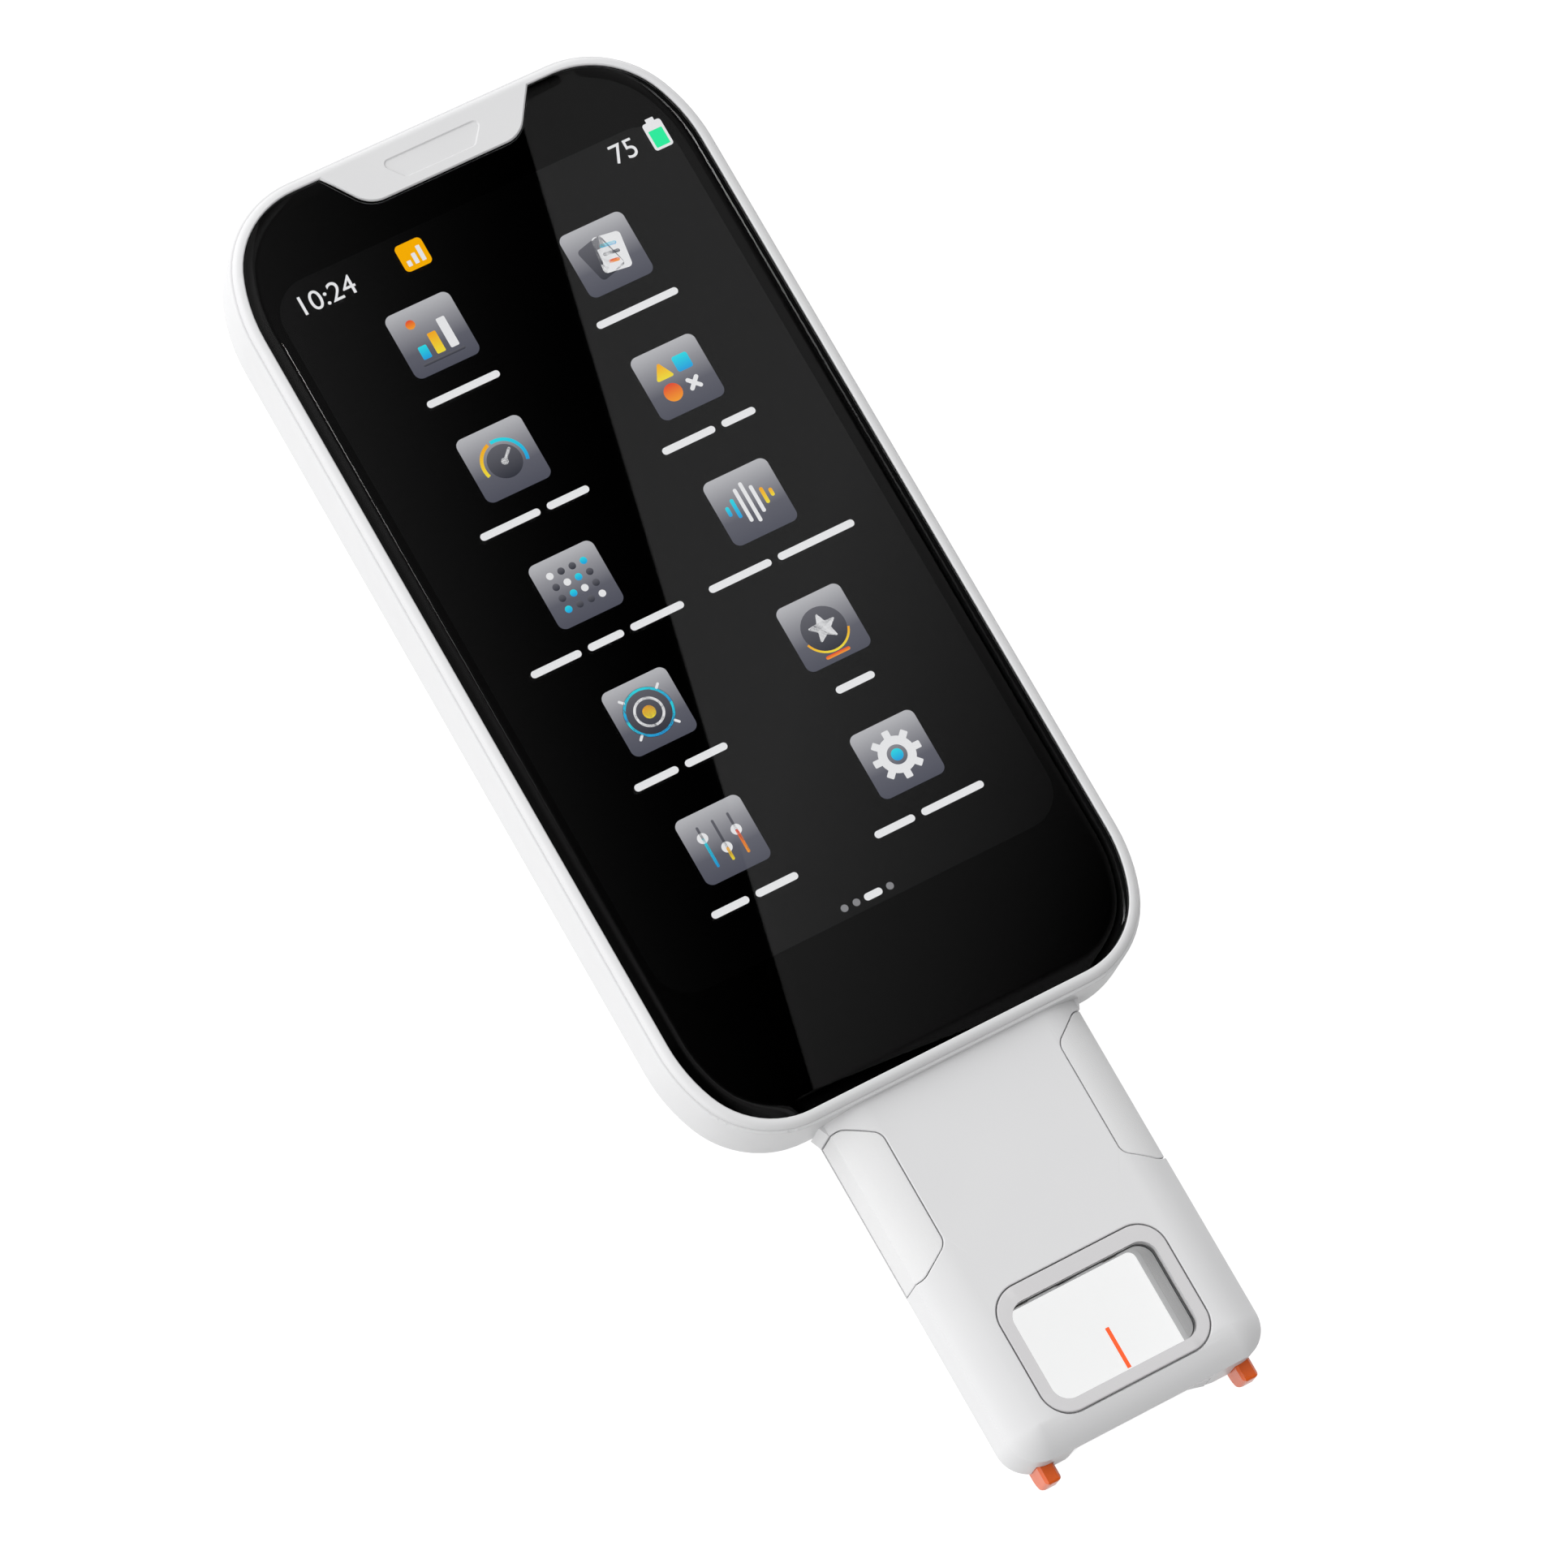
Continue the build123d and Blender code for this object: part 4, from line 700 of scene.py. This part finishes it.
def shapes(x, y):
    """A triangle, a square and a disc."""
    plate(rounded([(x - 2.4, y + 0.35), (x - 0.1, y + 0.35), (x - 1.25, y + 2.5)], 0.2, 4), YELLOW)
    plate(rounded(box_points((x + 1.35, y + 1.35), 1.9, 1.9), 0.3), CYAN)
    disc((x - 1.3, y - 1.35), 1.08, SUNSET)
    bar((x + 1.35, y - 1.35), 2.0, 0.5, WHITE, 45)
    bar((x + 1.35, y - 1.35), 2.0, 0.5, WHITE, -45)


def waves(x, y):
    """Sound bars that swell to the middle."""
    heights = (1.2, 2.4, 4.2, 5.0, 3.4, 2.0, 1.0)
    looks = (CYAN, CYAN, WHITE, WHITE, WHITE, YELLOW, YELLOW)
    for i, (height, look) in enumerate(zip(heights, looks)):
        bar((x - 2.7 + 0.9 * i, y), 0.44, height, look)


def badge(x, y):
    """A star on a disc."""
    disc((x, y - 0.1), 2.6, SLATE)
    band((x, y - 0.1), 2.6, 2.85, 200, 340, YELLOW)
    star((x, y), 1.9, 0.85, 5, WHITE)
    bar((x, y - 3.25), 3.0, 0.4, SUNSET)


def cog(x, y):
    """A wheel with eight teeth."""
    for i in range(8):
        a = math.radians(45 * i)
        c = (x + 2.35 * math.cos(a), y + 2.35 * math.sin(a))
        bar(c, 1.1, 0.85, WHITE, 45 * i, False)
    ring((x, y), 1.15, 2.15, WHITE)
    disc((x, y), 0.7, CYAN)


tiles = []
drawings = ((chart, dial, dots, target, sliders), (sheets, shapes, waves, badge, cog))
for column, x_glass in enumerate(COLUMNS):
    for row, y_glass in enumerate(ROWS):
        x, y = from_glass(x_glass, y_glass)
        tiles.append((rounded(box_points((x, y), TILE, TILE), TILE_RADIUS), 0, 0.0, 1.0))
        drawings[column][row](x, y)
        words = LABELS[column][row]
        left = x - (sum(words) + WORD_GAP * (len(words) - 1)) / 2
        for width in words:
            bar((left + width / 2, y - LABEL_DROP), width, LETTER_HEIGHT, WHITE)
            left += width + WORD_GAP

for x_glass, width, look in PAGE_DOTS:
    bar(from_glass(x_glass, PAGE_ROW), width, PAGE_HEIGHT, look)

signal_x, signal_y = from_glass(19.6, 104.4)
signal_tile = rounded(box_points((signal_x, signal_y), 3.3, 3.3), 0.55)
tiles.append((signal_tile, 1, 0.0, 1.0))
for i in range(3):
    middle = (signal_x - 0.85 + 0.85 * i, signal_y - 0.75 + 0.3 * i)
    bar(middle, 0.5, 0.7 + 0.6 * i, WHITE, 0, False)

battery_x, battery_y = from_glass(51.0, 105.2)
bar((battery_x, battery_y), 2.3, 3.4, WHITE, 0, False)
bar((battery_x, battery_y + 1.9), 1.0, 0.5, WHITE, 0, False)

screen_piece("menu_tiles", tiles, TILES, [tile_look, motif_looks[AMBER]])
screen_piece("menu_motifs", motifs, MOTIFS, motif_looks)


def digits(name, text, centre):
    """Plain numbers as a flat mesh piece."""
    curve = bpy.data.curves.new(name, "FONT")
    curve.body = text
    curve.size = DIGIT_HEIGHT * MM
    curve.extrude = 0.004 * MM
    curve.align_x, curve.align_y = "CENTER", "CENTER"
    text_object = bpy.data.objects.new(name + "_text", curve)
    bpy.context.scene.collection.objects.link(text_object)
    bpy.context.view_layer.update()
    mesh = bpy.data.meshes.new_from_object(text_object)
    bpy.data.objects.remove(text_object)
    mesh.name = name
    mesh.materials.clear()
    level = (MOTIFS[0] + MOTIFS[1]) / 2
    mesh.transform(Matrix.Translation(Vector((centre[0], centre[1], level)) * MM))
    finish_piece(name, mesh, "housing", [motif_looks[WHITE]])


digits("status_time", "10:24", from_glass(8.6, 104.2))
digits("status_charge", "75", from_glass(46.6, 105.0))
charge = rounded(box_points((battery_x, battery_y - 0.35), 1.7, 2.1), 0.1, 3)
screen_piece("battery_level", [(charge, 0, 0, 1)], CHARGE, [motif_looks[GREEN]])


# ---------------------------------------------------------------- studio

def quad(name, corners, material):
    """A flat stage sheet."""
    mesh = bpy.data.meshes.new(name)
    mesh.from_pydata([Vector(c) * MM for c in corners], [], [(0, 1, 2, 3)])
    mesh.materials.append(material)
    sheet = bpy.data.objects.new(name, mesh)
    bpy.context.scene.collection.objects.link(sheet)
    return sheet


CAMERA_PLACE = Vector((-281.12549, -217.66944, 857.47956))
CAMERA_RIGHT = Vector((0.85516672, -0.48936994, 0.17090036))
CAMERA_DOWN = Vector((-0.41824463, -0.84619078, -0.33020084))
CAMERA_FORWARD = Vector((0.30620468, 0.21089862, -0.92831055))
CARD_HEIGHT = 700.0
SEAM = ((11.95, 1.57), (38.0, 111.7))  # two points of the line across the glass, from its corner
SEAM_REACH = 2500  # how far the cards run on past both points
LEFT_REACH, RIGHT_REACH = 1500, 2500  # and to the sides of the line
BLACK_FADE = 69  # over which the black card brightens away from the line
SLOPE_X, SLOPE_TOP = 1.7, 119.4  # inside of the glass's left slope, and a little past its end
LINE_TOP = 98  # where along it the thin bright card ends
LINE_NEAR, LINE_FAR = 62, 92  # from where to where that card reaches to the left
SIDE_NEAR, SIDE_FAR = 180, 700  # and the wide one
LOW_REACH, HIGH_REACH = 450, 900  # how far both run on below, and the wide one above


def card_point(x_glass, y_glass):
    """Where a card at its height has to be to show in the glass at a point."""
    x, y = from_glass(x_glass, y_glass)
    p = Vector((x, y, FRONT))
    way = (2 * FRONT - CARD_HEIGHT - CAMERA_PLACE.z) / (p.z - CAMERA_PLACE.z)
    q = CAMERA_PLACE + (p - CAMERA_PLACE) * way
    return Vector((q.x, q.y, CARD_HEIGHT))


def card_material(name, levels, start, end, power=1):
    """Light from a card that changes along one line, evenly or faster towards its end."""
    material = bpy.data.materials.new(name)
    material.use_nodes = True
    tree = material.node_tree
    tree.nodes.clear()
    place = add(tree, "ShaderNodeTexCoord")
    along = end - start
    less = add(tree, "ShaderNodeVectorMath", operation="SUBTRACT")
    less.inputs[1].default_value = start * MM
    dot = add(tree, "ShaderNodeVectorMath", operation="DOT_PRODUCT")
    dot.inputs[1].default_value = along * (1 / MM / along.length_squared)
    share = add(tree, "ShaderNodeClamp")
    curve = add(tree, "ShaderNodeMath", operation="POWER")
    curve.inputs[1].default_value = power
    change = add(tree, "ShaderNodeMapRange")
    change.inputs["To Min"].default_value = levels[0]
    change.inputs["To Max"].default_value = levels[1]
    glow = add(tree, "ShaderNodeEmission")
    out = add(tree, "ShaderNodeOutputMaterial")
    tree.links.new(place.outputs["Object"], less.inputs[0])
    tree.links.new(less.outputs[0], dot.inputs[0])
    tree.links.new(dot.outputs["Value"], share.inputs["Value"])
    tree.links.new(share.outputs[0], curve.inputs[0])
    tree.links.new(curve.outputs[0], change.inputs["Value"])
    tree.links.new(change.outputs["Result"], glow.inputs["Strength"])
    tree.links.new(glow.outputs[0], out.inputs[0])
    return material


def card(name, one, two, lift, material):
    """A card between two lines, each given by its ends, that only reflections show."""
    up = Vector((0, 0, lift))
    sheet = quad(name, [p + up for p in (one[0], one[1], two[1], two[0])], material)
    sheet.visible_camera = False
    sheet.visible_diffuse = False
    sheet.visible_shadow = False


def reflection_cards():
    """Grey and black cards over the viewer, seen only as reflections in the glass.

    The black and the grey one meet in a line across the glass. The side cards show in the
    sloping left edge of the glass, one of them as a thin bright line.
    """
    low, high = [card_point(*point) for point in SEAM]
    along = (high - low).normalized()
    across = Vector((along.y, -along.x, 0))
    seam = (low - along * SEAM_REACH, high + along * SEAM_REACH)
    left = [p - across * LEFT_REACH for p in seam]
    right = [p + across * RIGHT_REACH for p in seam]
    look = card_material("card_black", (0.0, 0.105), high, high - across * BLACK_FADE, 1.75)
    card("card_black", left, right, 4, look)
    look = card_material("card_grey", (0.178, 0.0), card_point(17, 24), card_point(47, -2))
    card("card_grey", seam, right, 2, look)

    low, high = card_point(SLOPE_X, 0), card_point(SLOPE_X, SLOPE_TOP)
    start = low - Vector((0, LOW_REACH, 0))
    line_end, side_end = card_point(SLOPE_X, LINE_TOP), high + Vector((0, HIGH_REACH, 0))
    for name, end, reach, levels, power in (
            ("card_line", line_end, (LINE_NEAR, LINE_FAR), (0.25, 14.0), 4),
            ("card_side", side_end, (SIDE_NEAR, SIDE_FAR), (0.02, 0.3), 1)):
        near, far = [[p - Vector((away, 0, 0)) for p in (start, end)] for away in reach]
        card(name, near, far, 0, card_material(name, levels, low, high, power))


reflection_cards()


def studio_floor():
    """A pale floor, too bright for a shadow to show, that sends no light back up."""
    look, tree, bsdf = node_material("floor_paper")
    tone = spread(tree, noise(tree, 900, 2), 0, 1)
    paper = mixed(tree, tone, (0.22, 0.22, 0.22), (0.21, 0.21, 0.21))
    tree.links.new(paper, bsdf.inputs["Base Color"])
    bsdf.inputs["Roughness"].default_value = 0.9
    bsdf.inputs["Emission Color"].default_value = (1, 1, 1, 1)
    bsdf.inputs["Emission Strength"].default_value = 0.93
    reach, level = 3000, -0.05
    corners = [(x * reach, y * reach, level) for x, y in SQUARE]
    quad("floor", corners, look).visible_diffuse = False


studio_floor()


def studio_world(middle, slope):
    """Soft light from all round that grows along one direction."""
    world = bpy.data.worlds.new("studio")
    bpy.context.scene.world = world
    world.use_nodes = True
    tree = world.node_tree
    background = tree.nodes["Background"]
    background.inputs["Color"].default_value = (1, 1, 1, 1)
    place = add(tree, "ShaderNodeTexCoord")
    toward = add(tree, "ShaderNodeVectorMath", operation="DOT_PRODUCT")
    toward.inputs[1].default_value = slope
    level = add(tree, "ShaderNodeMath", operation="ADD")
    level.inputs[1].default_value = middle
    tree.links.new(place.outputs["Generated"], toward.inputs[0])
    tree.links.new(toward.outputs["Value"], level.inputs[0])
    tree.links.new(level.outputs[0], background.inputs["Strength"])


studio_world(0.95, (-0.58, 0.67, 0.29))

light = bpy.data.lights.new("key", "AREA")
light.shape = "RECTANGLE"
light.size, light.size_y = 0.5, 0.8
light.energy = 0.6
key = bpy.data.objects.new("key", light)
key.location = (-0.75, 0.25, 0.55)
key.rotation_euler = (-Vector(key.location)).to_track_quat("-Z", "Y").to_euler()
bpy.context.scene.collection.objects.link(key)

lens = bpy.data.cameras.new("camera")
lens.lens = 195.3727
lens.sensor_width = 36
lens.clip_start, lens.clip_end = 0.05, 20
camera = bpy.data.objects.new("camera", lens)
bpy.context.scene.collection.objects.link(camera)
rotation = Matrix((CAMERA_RIGHT, -CAMERA_DOWN, -CAMERA_FORWARD)).transposed()
camera.matrix_world = Matrix.Translation(CAMERA_PLACE * MM) @ rotation.to_4x4()
bpy.context.scene.camera = camera
bpy.context.scene.view_settings.view_transform = "Standard"
